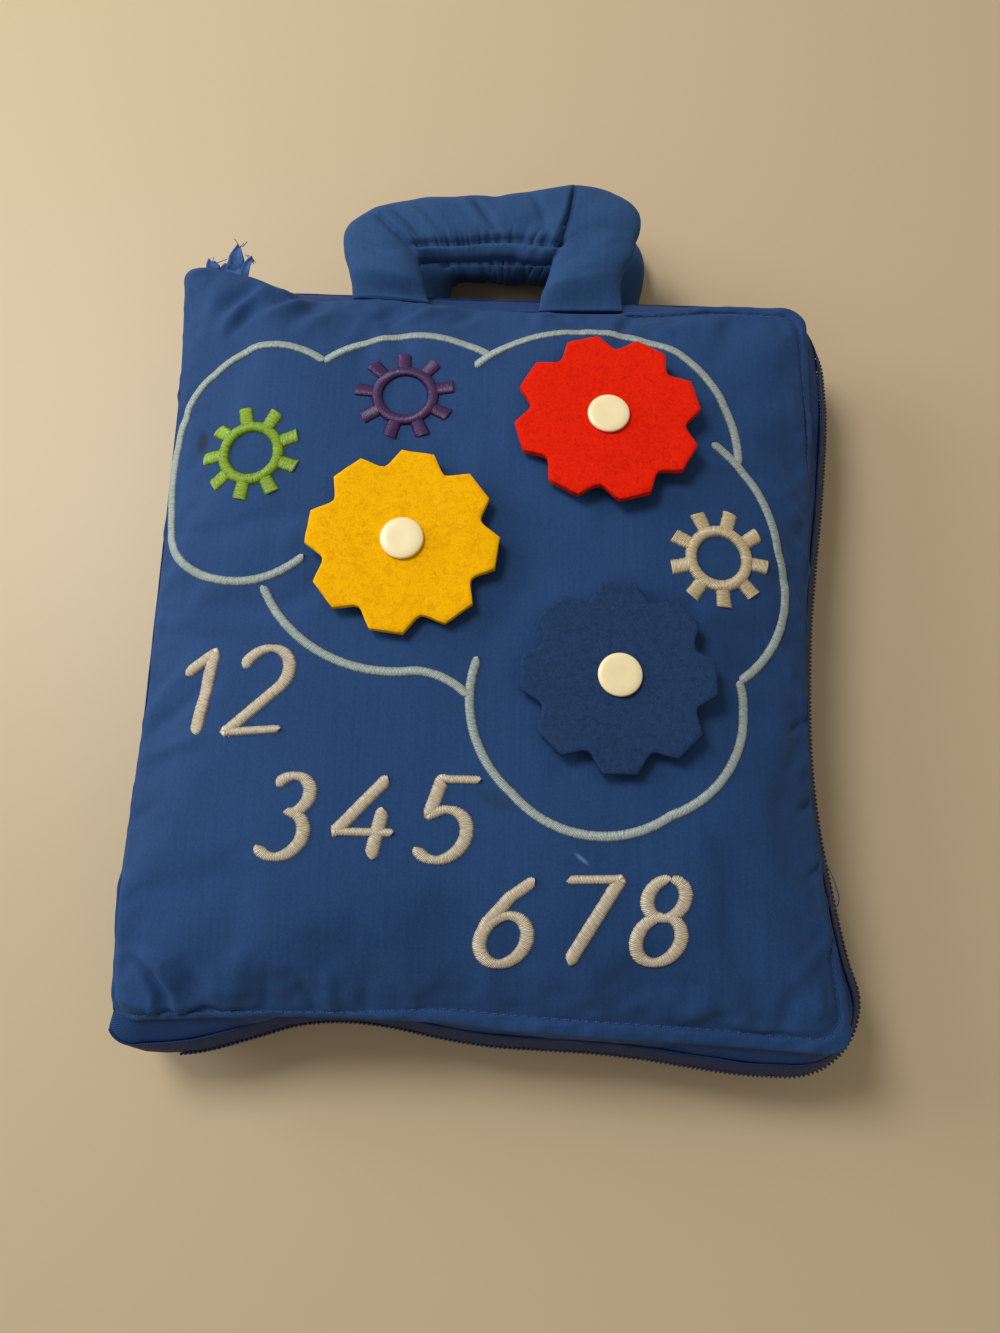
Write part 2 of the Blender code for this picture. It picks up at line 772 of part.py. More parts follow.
def make_slider():
    """Two shield-shaped plates on a thin web that runs in the slit, with a bail outside."""
    half_length = SLIDER_LENGTH / 2
    front, rear = SLIDER_FRONT_HEIGHT / 2, SLIDER_REAR_HEIGHT / 2
    shield_shares = ((-1, 0.55), (-0.75, 1), (0.0, 1), (1, 0))
    shield = []
    for along, wide in shield_shares:
        shield.append((SLIDER_X + along * half_length, rear + (front - rear) * wide))
    outline = [(x, ZIP_HEIGHT + z) for x, z in shield]
    outline += [(x, ZIP_HEIGHT - z) for x, z in reversed(shield)]
    inner = (ZIP_TOP_Y - SLIDER_FACE, ZIP_TOP_Y - SLIDER_HALF_GAP)
    outer = (ZIP_TOP_Y + SLIDER_HALF_GAP, ZIP_TOP_Y + SLIDER_FACE)
    slider = plate("zip_slider", outline, *outer, "slider_metal")
    back = plate("slider_back", outline, *inner, "slider_metal")
    sunk = SLIDER_PLATE / 2
    web_x = SLIDER_X - half_length + SLIDER_PLATE
    web = box(
        "slider_web",
        (web_x, inner[1] - sunk, ZIP_HEIGHT - SLIDER_WEB_HEIGHT / 2),
        (web_x + SLIDER_WEB_LENGTH, outer[0] + sunk, ZIP_HEIGHT + SLIDER_WEB_HEIGHT / 2),
        "slider_metal",
    )
    bail_low, bail_high = ZIP_HEIGHT - BAIL_WIDTH / 2, ZIP_HEIGHT + BAIL_WIDTH / 2
    reach = min(BAIL_REACH, half_length - BAIL_THICKNESS / 2)
    feet = []
    for side in (-1, 1):
        foot = SLIDER_X + side * (reach - BAIL_THICKNESS / 2)
        feet.append(
            box(
                f"bail_foot_{side}",
                (foot - BAIL_THICKNESS / 2, outer[1] - sunk, bail_low),
                (foot + BAIL_THICKNESS / 2, BAIL_INNER + BAIL_THICKNESS / 2, bail_high),
                "slider_metal",
            )
        )
    bridge = box(
        "bail_bridge",
        (SLIDER_X - reach, BAIL_INNER, bail_low),
        (SLIDER_X + reach, BAIL_INNER + BAIL_THICKNESS, bail_high),
        "slider_metal",
    )
    apply_union(slider, [back, web, *feet, bridge])


def make_pull():
    """A flat tab with a window at one end. The bar beyond the window turns under the bail."""
    half_bar = PULL_BAR / 2
    inner_half = BAIL_WIDTH / 2 + PULL_PLAY
    outer_half = inner_half + PULL_SIDE
    nose = SLIDER_X - PULL_LENGTH
    outer = [
        (SLIDER_X + half_bar, outer_half),
        (nose + PULL_NOSE, outer_half),
        (nose, outer_half - PULL_NOSE / 2),
    ]
    inner = [
        (SLIDER_X - half_bar, inner_half),
        (SLIDER_X - half_bar - PULL_WINDOW, inner_half),
    ]
    bm = bmesh.new()
    layers = []
    for y in (PIVOT_Y - half_bar, PIVOT_Y + half_bar):
        loops = []
        for chain in (outer, inner):
            points = [(x, ZIP_HEIGHT + z) for x, z in chain]
            points += [(x, ZIP_HEIGHT - z) for x, z in reversed(chain)]
            loops.append([bm.verts.new((x, y, z)) for x, z in points])
        layers.append(loops)
        edges = []
        for loop in loops:
            for i, vert in enumerate(loop):
                edges.append(bm.edges.new((vert, loop[(i + 1) % len(loop)])))
        bmesh.ops.triangle_fill(bm, use_beauty=True, use_dissolve=False, edges=edges)
    for low, high in zip(*layers):
        join_rings(bm, low, high)
    add_object("zip_pull", bm, "slider_metal", 30)


def rounded_u(root_half, top_half, reach, corner, slant, steps=5):
    """A rounded U from its left root over the top to its right root, at y = 0 and up."""
    left_top, right_top = reach - slant, reach + slant
    corners = [
        Vector((-root_half, 0)),
        Vector((-top_half, left_top)),
        Vector((top_half, right_top)),
        Vector((root_half, 0)),
    ]
    points = []
    for i in (0, 1, 2):
        start, end = corners[i], corners[i + 1]
        way = (end - start).normalized()
        first = start + way * (corner if i else 0)
        last = end - way * (corner if i < 2 else 0)
        for j in range(steps + 1):
            points.append(first.lerp(last, j / steps))
        if i < 2:
            onward = end + (corners[i + 2] - end).normalized() * corner
            for j in (0.25, 0.5, 0.75):
                points.append(last.lerp(end, j).lerp(end.lerp(onward, j), j))
    return points


def border_y(outline, x):
    """Where the top of an outline crosses this x."""
    for start, end in zip(outline, outline[1:]):
        if start.y > 0 and start.x <= x <= end.x:
            return start.lerp(end, (x - start.x) / (end.x - start.x)).y
    return HALF_HEIGHT


STRAP_RING = 12


def make_handle(name, outline, seam_height, shift, extra):
    """A padded loop: rings laid from its window to its outer edge, thin where it is sewn on."""
    window = rounded_u(
        WINDOW_ROOT_WIDTH / 2,
        WINDOW_TOP_WIDTH / 2,
        WINDOW_REACH + extra,
        WINDOW_CORNER,
        WINDOW_SLANT / 2,
    )
    outer = rounded_u(
        WINDOW_ROOT_WIDTH / 2 + STRAP_ROOT_WIDTH,
        WINDOW_TOP_WIDTH / 2 + STRAP_SIDE_WIDTH,
        WINDOW_REACH + extra + GRIP_WIDTH,
        STRAP_CORNER,
        HANDLE_SLANT / 2,
    )
    centre_x = HANDLE_CENTRE + shift
    root = Vector((centre_x, border_y(outline, centre_x) + CLOTH_GAP))
    bm = bmesh.new()
    rings = []
    for inner_point, outer_point in zip(window, outer):
        middle = (inner_point + outer_point) / 2
        half_span = (outer_point - inner_point) / 2
        full = smooth_share(middle.y / STRAP_SWELL)
        thickness = STRAP_SEAM_THICKNESS + (STRAP_THICKNESS - STRAP_SEAM_THICKNESS) * full
        ring = []
        for j in range(STRAP_RING):
            angle = 2 * math.pi * j / STRAP_RING
            place = root + middle + half_span * math.cos(angle)
            place.y += (border_y(outline, place.x) + CLOTH_GAP - root.y) * (1 - full)
            ring.append(
                bm.verts.new((place.x, place.y, seam_height + thickness / 2 * math.sin(angle)))
            )
        rings.append(ring)
    for first, second in zip(rings, rings[1:]):
        join_rings(bm, first, second)
    bm.faces.new(rings[0])
    bm.faces.new(rings[-1])
    add_object(name, bm, "cover_cotton")


def make_handles():
    make_handle("front_handle", front_outline(), FRONT_SEAM_HEIGHT, 0, 0)
    make_handle(
        "back_handle",
        cover_outline(PANEL_CORNER),
        BACK_SEAM_HEIGHT,
        BACK_HANDLE_SHIFT,
        BACK_HANDLE_EXTRA_REACH,
    )


def turned(name, profile, finish, place, steps=TURN_STEPS):
    """A turned piece from a closed profile of radius and height, round its own Z."""
    bm = bmesh.new()
    verts = [bm.verts.new((radius, 0, height)) for radius, height in profile]
    edges = [bm.edges.new((a, b)) for a, b in zip(verts, verts[1:])]
    if profile[0][0] > 0:
        edges.append(bm.edges.new((verts[-1], verts[0])))
    bmesh.ops.spin(
        bm,
        geom=verts + edges,
        cent=(0, 0, 0),
        axis=(0, 0, 1),
        dvec=(0, 0, 0),
        angle=2 * math.pi,
        steps=steps,
        use_merge=True,
    )
    bmesh.ops.remove_doubles(bm, verts=bm.verts, dist=MERGE_DISTANCE)
    bm.transform(place)
    return add_object(name, bm, finish)


MERGE_DISTANCE = 1e-7
SOCKET_BASE = CLOTH_GAP + STUD_FLANGE + SNAP_CLEARANCE
FELT_BASE = SOCKET_BASE + SOCKET_HEIGHT + CLOTH_GAP
CAP_BASE = FELT_BASE + COG_FELT + CLOTH_GAP


def cap_profile():
    """A low dome with a rolled edge, on a post that ends inside the stud's bore."""
    top = CAP_BASE + CAP_EDGE
    post_end = SOCKET_BASE + SOCKET_WEB
    dome = [(CAP_RADIUS, CAP_BASE + CAP_EDGE / 2), (CAP_RADIUS, top)]
    for share in (0.86, 0.6, 0.3):
        dome.append((CAP_RADIUS * share, top + CAP_DOME * (1 - share**2)))
    under = [
        (CAP_RADIUS - CAP_EDGE / 2, CAP_BASE),
        (POST_RADIUS, CAP_BASE),
        (POST_RADIUS, post_end),
        (0, post_end),
    ]
    return [(0, top + CAP_DOME), *reversed(dome), *under]


def socket_profile():
    """A ring open below, where the stud goes in, with a web that the post passes."""
    bore = STUD_RADIUS + STUD_BEAD + SNAP_CLEARANCE
    top = SOCKET_BASE + SOCKET_HEIGHT
    return [
        (POST_RADIUS + SNAP_CLEARANCE, top),
        (SOCKET_RADIUS - SOCKET_WEB, top),
        (SOCKET_RADIUS, top - SOCKET_WEB),
        (SOCKET_RADIUS, SOCKET_BASE),
        (bore, SOCKET_BASE),
        (bore, top - SOCKET_WEB),
        (POST_RADIUS + SNAP_CLEARANCE, top - SOCKET_WEB),
    ]


def stud_profile():
    """A flange on the cover and a hollow knob with a bead, which the socket snaps over."""
    flange_top = CLOTH_GAP + STUD_FLANGE
    knob_top = SOCKET_BASE + SOCKET_HEIGHT - SOCKET_WEB - SNAP_CLEARANCE
    bead = (flange_top + knob_top) / 2
    return [
        (STUD_BORE, knob_top),
        (STUD_RADIUS - STUD_BEAD, knob_top),
        (STUD_RADIUS + STUD_BEAD, bead),
        (STUD_RADIUS - STUD_BEAD, flange_top),
        (STUD_FLANGE_RADIUS, flange_top),
        (STUD_FLANGE_RADIUS, CLOTH_GAP),
        (STUD_BORE, CLOTH_GAP),
    ]


def cog_outline(turn_degrees):
    """Eight blunt teeth with hollow gaps between them."""
    points = []
    tooth_angle = 2 * math.pi / COG_TEETH
    half_top = tooth_angle * TOOTH_TOP_SHARE / 2
    gap_angle = tooth_angle - 2 * half_top
    depth = COG_RADIUS - COG_ROOT_RADIUS
    for tooth in range(COG_TEETH):
        middle = math.radians(90 + turn_degrees) - tooth * tooth_angle
        points.append((COG_RADIUS, middle + half_top))
        points.append((COG_RADIUS, middle - half_top))
        for share in (0.25, 0.5, 0.75):
            hollow = math.sin(math.pi * share) ** 0.7
            points.append((COG_RADIUS - depth * hollow, middle - half_top - gap_angle * share))
    return [(radius * math.cos(angle), radius * math.sin(angle)) for radius, angle in points]


def make_cog(name, turn_degrees, finish, place):
    """A felt disc cut to a cog, with a hole for the snap's post."""
    bm = bmesh.new()
    rim = cog_outline(turn_degrees)
    hole = [Vector(point).normalized() * COG_HOLE for point in rim]
    layers = []
    for height in (FELT_BASE, FELT_BASE + COG_FELT):
        outside = [bm.verts.new((x, y, height)) for x, y in rim]
        inside = [bm.verts.new((point.x, point.y, height)) for point in hole]
        join_rings(bm, outside, inside)
        layers.append((outside, inside))
    join_rings(bm, layers[0][0], layers[1][0])
    join_rings(bm, layers[0][1], layers[1][1])
    bm.transform(place)
    add_object(name, bm, finish, 30)


def make_cogs():
    for colour, (across, up, turn) in COGS.items():
        place = front_frame(across * HALF_WIDTH, up * HALF_HEIGHT)
        make_cog(f"{colour}_cog", turn, f"felt_{colour}", place)
        turned(f"{colour}_snap_cap", cap_profile(), "snap_plastic", place)
        turned(f"{colour}_snap_socket", socket_profile(), "snap_plastic", place)
        turned(f"{colour}_snap_stud", stud_profile(), "snap_plastic", place)


def make_fray():
    """The torn end of the zip tape: a ragged strip, level, at the closed end of the front tape."""
    left = HINGE_X + WALL_START
    right = left + FRAY_WIDTH
    base = ZIP_HEIGHT + CHAIN_OUTER + TAPE_HEIGHT / 2
    away = TAPE_THICKNESS / 2 + CLOTH_GAP
    left_y = border_y(zip_rim(), left) + away
    right_y = border_y(zip_rim(), right) + away
    step = FRAY_WIDTH / len(FRAY_TONGUE_SHARES)
    outline = [(left, left_y)]
    for i, length_share in enumerate(FRAY_TONGUE_SHARES):
        tip = left_y + FRAY_LENGTH * length_share
        outline.append((left + step * (i + 0.35), tip))
        outline.append((left + step * (i + 0.6), tip - FRAY_LENGTH * 0.1))
        if i + 1 < len(FRAY_TONGUE_SHARES):
            outline.append((left + step * (i + 1), right_y + FRAY_LENGTH * 0.3))
    outline.append((right, right_y))
    bm = bmesh.new()
    lower = [bm.verts.new((x, y, base)) for x, y in outline]
    upper = [bm.verts.new((x, y, base + FRAY_THICKNESS)) for x, y in outline]
    bm.faces.new(lower)
    bm.faces.new(upper)
    join_rings(bm, lower, upper)
    add_object("frayed_tape_end", bm, "cover_cotton", 30)


def world_place(carrier):
    place = Vector()
    while carrier:
        place += carrier.location
        carrier = carrier.parent
    return place


def pivot(name, place, carrier=None):
    """An empty on a joint's axis, which carries what turns or slides there."""
    made = bpy.data.objects.new(name, None)
    bpy.context.scene.collection.objects.link(made)
    made.parent = carrier
    made.location = Vector(place) - world_place(carrier)
    return made


def hang(carrier, *names):
    """Hands objects to a pivot, with their own origins moved onto it."""
    for name in names:
        carried = bpy.data.objects[name]
        carried.data.transform(Matrix.Translation(-world_place(carrier)))
        carried.parent = carrier


def handle_hinge(outline, seam_height, shift):
    """The line a handle folds on: the upper edge of the border it is sewn to."""
    half_span = WINDOW_ROOT_WIDTH / 2 + STRAP_ROOT_WIDTH
    centre_x = HANDLE_CENTRE + shift
    roots = [border_y(outline, centre_x + side * half_span) for side in (-1, 1)]
    return (centre_x, max(roots), seam_height + HALF_BORDER)


def hinge_all():
    """Every moving piece on its own joint's axis, in the order they carry each other."""
    spine = pivot("spine_fold", (HINGE_X, 0, BACK_SEAM_HEIGHT))
    front = pivot("cover_fold", (HINGE_X, 0, FRONT_SEAM_HEIGHT), spine)
    hang(spine, "spine_panel")
    hang(
        front,
        "front_cover",
        "front_wall",
        "front_zip_tape",
        "front_zip_teeth",
        "front_top_stop",
        "frayed_tape_end",
    )
    for index in range(1, LEAF_COUNT + 1):
        leaf = pivot(f"page_{index}_turn", (LEAF_HINGE_X, 0, leaf_height(index)), spine)
        hang(leaf, f"page_{index}")
    for colour, (across, up, _turn) in COGS.items():
        place = front_frame(across * HALF_WIDTH, up * HALF_HEIGHT).translation
        hang(front, f"{colour}_snap_stud")
        snap = pivot(f"{colour}_snap", place, front)
        hang(snap, f"{colour}_snap_cap", f"{colour}_snap_socket")
        hang(pivot(f"{colour}_spin", place, snap), f"{colour}_cog")
    hang(
        pivot("front_handle_fold", handle_hinge(front_outline(), FRONT_SEAM_HEIGHT, 0), front),
        "front_handle",
    )
    back_outline = cover_outline(PANEL_CORNER)
    hang(
        pivot(
            "back_handle_fold", handle_hinge(back_outline, BACK_SEAM_HEIGHT, BACK_HANDLE_SHIFT)
        ),
        "back_handle",
    )
    slider = pivot("slider_run", (SLIDER_X, ZIP_TOP_Y, ZIP_HEIGHT))
    hang(slider, "zip_slider")
    hang(pivot("pull_turn", (SLIDER_X, PIVOT_Y, ZIP_HEIGHT), slider), "zip_pull")


def main():
    clear_scene()
    make_covers()
    make_leaves()
    make_spine()
    for side in ("front", "back"):
        make_wall(f"{side}_wall", side == "front")
        make_tape(f"{side}_zip_tape", side == "front")
        make_teeth(f"{side}_zip_teeth", side == "front")
    make_stops()
    make_slider()
    make_pull()
    make_handles()
    make_cogs()
    make_fray()
    hinge_all()


main()
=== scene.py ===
"""A padded cloth book that zips shut: cotton covers, felt cogs on press studs, satin stitch and zip."""

import json
import math
import random

import bmesh
import bpy
import numpy as np
from mathutils import Matrix, Vector, noise
from mathutils.bvhtree import BVHTree

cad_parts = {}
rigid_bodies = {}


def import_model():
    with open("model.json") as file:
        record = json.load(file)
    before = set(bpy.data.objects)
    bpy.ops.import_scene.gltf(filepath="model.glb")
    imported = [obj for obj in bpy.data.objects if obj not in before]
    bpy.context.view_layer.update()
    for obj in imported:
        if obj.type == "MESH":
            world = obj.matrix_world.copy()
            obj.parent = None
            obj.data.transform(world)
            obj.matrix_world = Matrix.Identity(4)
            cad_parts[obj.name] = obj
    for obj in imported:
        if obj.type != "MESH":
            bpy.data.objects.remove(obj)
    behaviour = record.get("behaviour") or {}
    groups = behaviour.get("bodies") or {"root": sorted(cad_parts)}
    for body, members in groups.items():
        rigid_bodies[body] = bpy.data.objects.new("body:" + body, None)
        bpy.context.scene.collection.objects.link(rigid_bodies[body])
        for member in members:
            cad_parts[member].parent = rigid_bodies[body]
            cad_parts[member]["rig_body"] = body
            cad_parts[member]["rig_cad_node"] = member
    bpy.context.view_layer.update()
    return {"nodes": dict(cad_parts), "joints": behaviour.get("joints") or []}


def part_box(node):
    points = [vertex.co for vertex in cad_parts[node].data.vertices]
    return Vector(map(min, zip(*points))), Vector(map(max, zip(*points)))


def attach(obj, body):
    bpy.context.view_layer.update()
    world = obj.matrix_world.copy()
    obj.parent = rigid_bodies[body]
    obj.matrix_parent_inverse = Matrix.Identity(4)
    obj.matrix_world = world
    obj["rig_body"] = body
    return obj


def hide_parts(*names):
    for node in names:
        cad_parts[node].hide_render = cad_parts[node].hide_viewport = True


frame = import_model()
JOINTS = {joint["name"]: joint for joint in frame["joints"]}
SCENE = bpy.context.scene
MM = 0.001

# The covers, as the frame has them
PANEL_CORNER = 8 * MM
PANEL_PINCH = 2.4 * MM
# Room between cloths that only meet, and how far sewn edges lap
CLOTH_GAP = 0.3 * MM
SEWN_LAP = 0.6 * MM
HALF_BORDER = 1.2 * MM
FRONT_CROWN = 15 * MM
BORDER_SHARE = 0.962
BACK_REST_SHARE = 0.8
HALF_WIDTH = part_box("back_cover")[1].x
HALF_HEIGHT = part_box("back_cover")[1].y
HINGE_X = -HALF_WIDTH
FRONT_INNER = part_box("front_cover")[0].z
FRONT_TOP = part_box("front_cover")[1].z
FRONT_SEAM = FRONT_TOP - FRONT_CROWN - HALF_BORDER
BACK_SEAM = JOINTS["spine_fold"]["pos_m"][2]
BACK_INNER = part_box("back_cover")[1].z

# How the front cover lies. A table has rows of (place, value in millimetres), and a place is a
# share of the way from the middle to the edge.
FRONT_TOP_RISE = 3 * MM
EAR_HEIGHT = 9 * MM
EAR_REACH = 38 * MM
RIGHT_SHIFTS = (
    (-1.0, 5.4), (-0.87, 3.8), (-0.68, 0.3), (-0.42, -2.2), (-0.2, -1.7), (0.06, -0.3),
    (0.25, 1.4), (0.45, 2.7), (0.7, 3.1), (1.0, 2.9),
)
LOW_LIFTS = (
    (-1.0, 0.3), (-0.7, 1.4), (-0.45, 1.3), (-0.25, 0.1), (-0.1, -0.8), (0.05, -2.6),
    (0.25, -3.7), (0.65, -3.8), (1.0, -5.2),
)
LEFT_SHIFTS = (
    (-1.0, 0.3), (-0.91, -0.2), (-0.72, -1.3), (-0.42, -0.3), (-0.16, 0.8), (0.0, 0.6),
    (0.27, 0.8), (0.47, 0.4), (0.64, 0.2), (0.74, -0.4), (0.85, -1.4), (0.93, -2.2), (1.0, -4.4),
)
TOP_SHIFTS = (
    (-1.0, 1.0), (-0.84, 3.0), (-0.7, 1.4), (-0.6, -1.8), (-0.52, -2.0), (-0.42, -0.2),
    (-0.25, -0.6), (-0.1, -2.2), (0.15, -2.8), (0.42, -2.6), (0.55, -1.2), (0.7, 0.0), (1.0, 0.0),
)
LEFT_REACH = 40 * MM
# How wide the sewn border is on each side, as a share of the widest: the puffed cloth rolls over
# it where it is narrow
BORDER_WIDTHS = {
    "top": ((-1.0, 0.22), (0.38, 0.22), (0.47, 0.7), (1.0, 0.85)),
    "right": ((-1.0, 1.0), (-0.8, 0.8), (-0.72, 0.25), (0.42, 0.22), (0.55, 0.5), (1.0, 0.85)),
    "low": ((-1.0, 0.3), (-0.8, 0.5), (-0.4, 0.45), (-0.1, 1.0), (0.2, 1.15), (1.0, 1.0)),
    "left": ((-1.0, 0.3), (-0.8, 0.22), (1.0, 0.22)),
}

# Walls and zip
WALL_THICKNESS = 2.2 * MM
WALL_INSET = 2.2 * MM
WALL_START = 3 * MM
ZIP_SIDE_FLARE = 12.2 * MM
ZIP_TOP_FLARE = 6.5 * MM
ZIP_BOTTOM_FLARE = 13 * MM
ZIP_SPINE_FLARE = 2.5 * MM
ZIP_LOW_RISE = 2.8 * MM
ZIP_CORNER = 24 * MM
ZIP_END_CORNER = 12 * MM
ZIP_SIDE_INSETS = (
    (0.0, 0.0), (0.08, -0.2), (0.22, 2.9), (0.36, 7.2), (0.46, 9.8), (0.63, 11.7), (0.75, 10.4),
    (0.87, 6.4), (0.95, 3.0), (1.0, 0.0),
)
ZIP_LOW_INSETS = (
    (0.0, 0.0), (0.07, 0.2), (0.15, 1.8), (0.23, 3.8), (0.31, 5.0), (0.47, 6.0), (0.55, 8.0),
    (0.63, 10.8), (0.7, 11.8), (0.77, 10.4), (0.83, 6.6), (0.91, 1.6), (0.955, 0.2), (1.0, 0.0),
)
TAPE_LEAN = 3.8 * MM
WALL_LEAN = 4.4 * MM
ZIP_END_DRAW = 6 * MM
CHAIN_START = 24 * MM
CHAIN_OUTER = 3.1 * MM
TAPE_TOP = 8.6 * MM
TAPE_THICKNESS = 0.9 * MM
ZIP_HEIGHT = (BACK_SEAM + FRONT_SEAM) / 2
COIL_PITCH = 1.5 * MM
COIL_WIRE = 0.46 * MM
COIL_OVERLAP = 0.25 * MM
SIDE_STEPS = 64
CORNER_STEPS = 12
END_ARC_SHARE = 0.75

# Carrying handles
STRAP_THICKNESS = 13 * MM
STRAP_SEAM = 2.4 * MM
STRAP_SWELL = 9 * MM
# The front handle's outer and inner line on the left leg, the grip and the right leg, in
# millimetres
FRONT_STRAP_OUTER = (
    (
        (-53.2, 129), (-53.5, 134.8), (-54.6, 141.1), (-57.1, 147.3), (-58.3, 152.7),
        (-58.3, 156.8), (-56.3, 160.9), (-52.4, 164.4),
    ),
    (
        (-52.4, 164.4), (-47, 168.1), (-37.5, 170.9), (-27.9, 172.4), (-19.1, 173.3),
        (-9.4, 174.5), (-4.6, 174.2), (-0.5, 173.4), (4.3, 174.7), (10.7, 176), (17.2, 177.7),
        (23.6, 179.2), (30.9, 180.7), (37.4, 180), (43.1, 178.4), (47.9, 176), (52, 173.1),
    ),
    (
        (52, 173.1), (54.8, 169.4), (55.4, 165.3), (54.7, 160.6), (53, 156.9), (52.8, 151.8),
        (51, 147.6), (48.2, 143.9), (47, 139.4), (47.3, 134.9), (48, 129),
    ),
)
FRONT_STRAP_INNER = (
    ((-24.6, 129), (-26, 135.1), (-27.4, 139.5), (-28.5, 143.1), (-28.5, 146)),
    (
        (-28.5, 146), (-22.9, 146.9), (-16.6, 146.7), (-10.2, 146.9), (-3.9, 148.4), (0.9, 148.7),
        (5.7, 148.4), (11.3, 146.8), (16.9, 146.7), (21.5, 147.6),
    ),
    ((21.5, 147.6), (20.1, 141.2), (18.6, 135.8), (17.1, 131.3), (16.4, 129)),
)
BACK_STRAP_OUTER = (
    ((-44.3, 126.5), (-46.5, 140), (-48, 160), (-47.2, 174), (-42, 182)),
    ((-42, 182), (-33, 186.3), (-10, 188), (15, 190.5), (38, 192.8), (49, 190.5), (56.5, 183.5)),
    ((56.5, 183.5), (60.2, 176), (61.6, 168), (61, 160), (58.9, 152), (57.4, 140), (57.3, 126.5)),
)
BACK_STRAP_INNER = (
    ((-14.5, 126.5), (-17, 140), (-18.6, 152), (-18.2, 158.5)),
    ((-18.2, 158.5), (-14, 161.2), (-4, 161.3), (8, 160.9), (22, 160.4), (30, 158.8)),
    ((30, 158.8), (31.6, 150), (30.2, 138), (28.5, 126.5)),
)
STRAP_STATIONS = (52, 150, 52)
STRAP_RING = 88

# Felt cogs and press studs, with heights along each stud's axis
COG_RADIUS = 32 * MM
COG_ROOT_RADIUS = 26.6 * MM
COG_TEETH = 8
COG_FELT = 2.6 * MM
COG_HOLE = 1.6 * MM
TOOTH_TOP_SHARE = 0.44
COG_TURNS = {"yellow": -7.0, "red": 16.0, "blue": 0.0}
SOCKET_BASE = 1.35 * MM
FELT_BASE = 4.05 * MM
CAP_BASE = 6.95 * MM


def clamp(value, low, high):
    return max(low, min(high, value))


def smooth(value):
    """0 to 1 with level ends, for a value that runs from 0 to 1."""
    value = clamp(value, 0, 1)
    return value * value * (3 - 2 * value)


def deselect():
    for other in bpy.context.selected_objects:
        other.select_set(False)


def select_only(piece):
    deselect()
    piece.select_set(True)
    bpy.context.view_layer.objects.active = piece


# Materials


def linear(hex_colour):
    """A #RRGGBB colour as the linear values that the shaders take."""
    parts = [int(hex_colour[i : i + 2], 16) / 255 for i in (1, 3, 5)]
    made = [p / 12.92 if p <= 0.04045 else ((p + 0.055) / 1.055) ** 2.4 for p in parts]
    return (*made, 1)


def add(tree, kind, inputs=None, **settings):
    """One shader node with its settings, and its inputs as values or as links."""
    made = tree.nodes.new(kind)
    for name, value in settings.items():
        setattr(made, name, value)
    for socket, value in (inputs or {}).items():
        if isinstance(value, bpy.types.NodeSocket):
            tree.links.new(value, made.inputs[socket])
        else:
            made.inputs[socket].default_value = value
    return made


def new_material(name):
    made = bpy.data.materials.new(name)
    made.use_nodes = True
    tree = made.node_tree
    return made, tree, tree.nodes["Principled BSDF"]


def set_shader(shader, **values):
    for name, value in values.items():
        shader.inputs[name.replace("_", " ").title().replace("Ior", "IOR")].default_value = value


def bands(pitch):
    """The scale at which a wave texture repeats once in this many metres."""
    return 2 * math.pi / 20 / pitch


def mixed(tree, factor, first, second, blend="MIX"):
    node = add(tree, "ShaderNodeMix", data_type="RGBA", blend_type=blend)
    for socket, value in ((0, factor), (6, first), (7, second)):
        if isinstance(value, bpy.types.NodeSocket):
            tree.links.new(value, node.inputs[socket])
        else:
            node.inputs[socket].default_value = value
    return node.outputs[2]


def ramp(tree, source, stops):
    """A colour ramp with (place, grey) stops."""
    node = add(tree, "ShaderNodeValToRGB", {"Fac": source})
    for i, (place, grey) in enumerate(stops):
        stop = node.color_ramp.elements[i] if i < 2 else node.color_ramp.elements.new(place)
        stop.position = place
        stop.color = (grey, grey, grey, 1)
    return node.outputs["Color"]


def spot(tree, coords, place, size, turn_degrees):
    """1 in the middle of an oval mark and 0 outside it."""
    moved = add(
        tree,
        "ShaderNodeMapping",
        {
            "Vector": coords,
            "Location": place,
            "Rotation": (0, 0, math.radians(turn_degrees)),
            "Scale": size,
        },
        vector_type="TEXTURE",
    )
    ball = add(
        tree, "ShaderNodeTexGradient", {"Vector": moved.outputs[0]}, gradient_type="SPHERICAL"
    )
    return ball.outputs["Fac"]


WEAVE_PITCH = 0.7 * MM
THREAD_PITCH = 0.45 * MM
FADE_PATCH = 40 * MM
SPECKLE = 0.8 * MM
COTTON_NAP = 2.4 * MM
CREASE_SIZE = (2.0 * MM, 46 * MM, 9 * MM)
FELT_MAT = 2.6 * MM
FELT_FIBRE = 0.9 * MM
HERRINGBONE = 1.5 * MM
TAPE_RIB = 0.9 * MM


def object_place(tree):
    return add(tree, "ShaderNodeTexCoord").outputs["Object"]


def cloth_uv(tree):
    return add(tree, "ShaderNodeUVMap", uv_map="cloth").outputs["UV"]


def stretched(tree, vector, scale):
    return add(tree, "ShaderNodeMapping", {"Vector": vector, "Scale": scale}).outputs[0]


def mottled(tree, vector, size, detail, distortion=0.0):
    """A noise texture whose patches are about this many metres across."""
    inputs = {"Vector": vector, "Scale": 1 / size, "Detail": detail, "Distortion": distortion}
    return add(tree, "ShaderNodeTexNoise", inputs)


def ribbed(tree, vector, pitch, direction, distortion=0.0, detail=2.0):
    """A wave texture whose bands repeat once in this many metres."""
    scale = bands(pitch)
    inputs = {"Vector": vector, "Scale": scale, "Distortion": distortion, "Detail": detail}
    return add(tree, "ShaderNodeTexWave", inputs, bands_direction=direction)


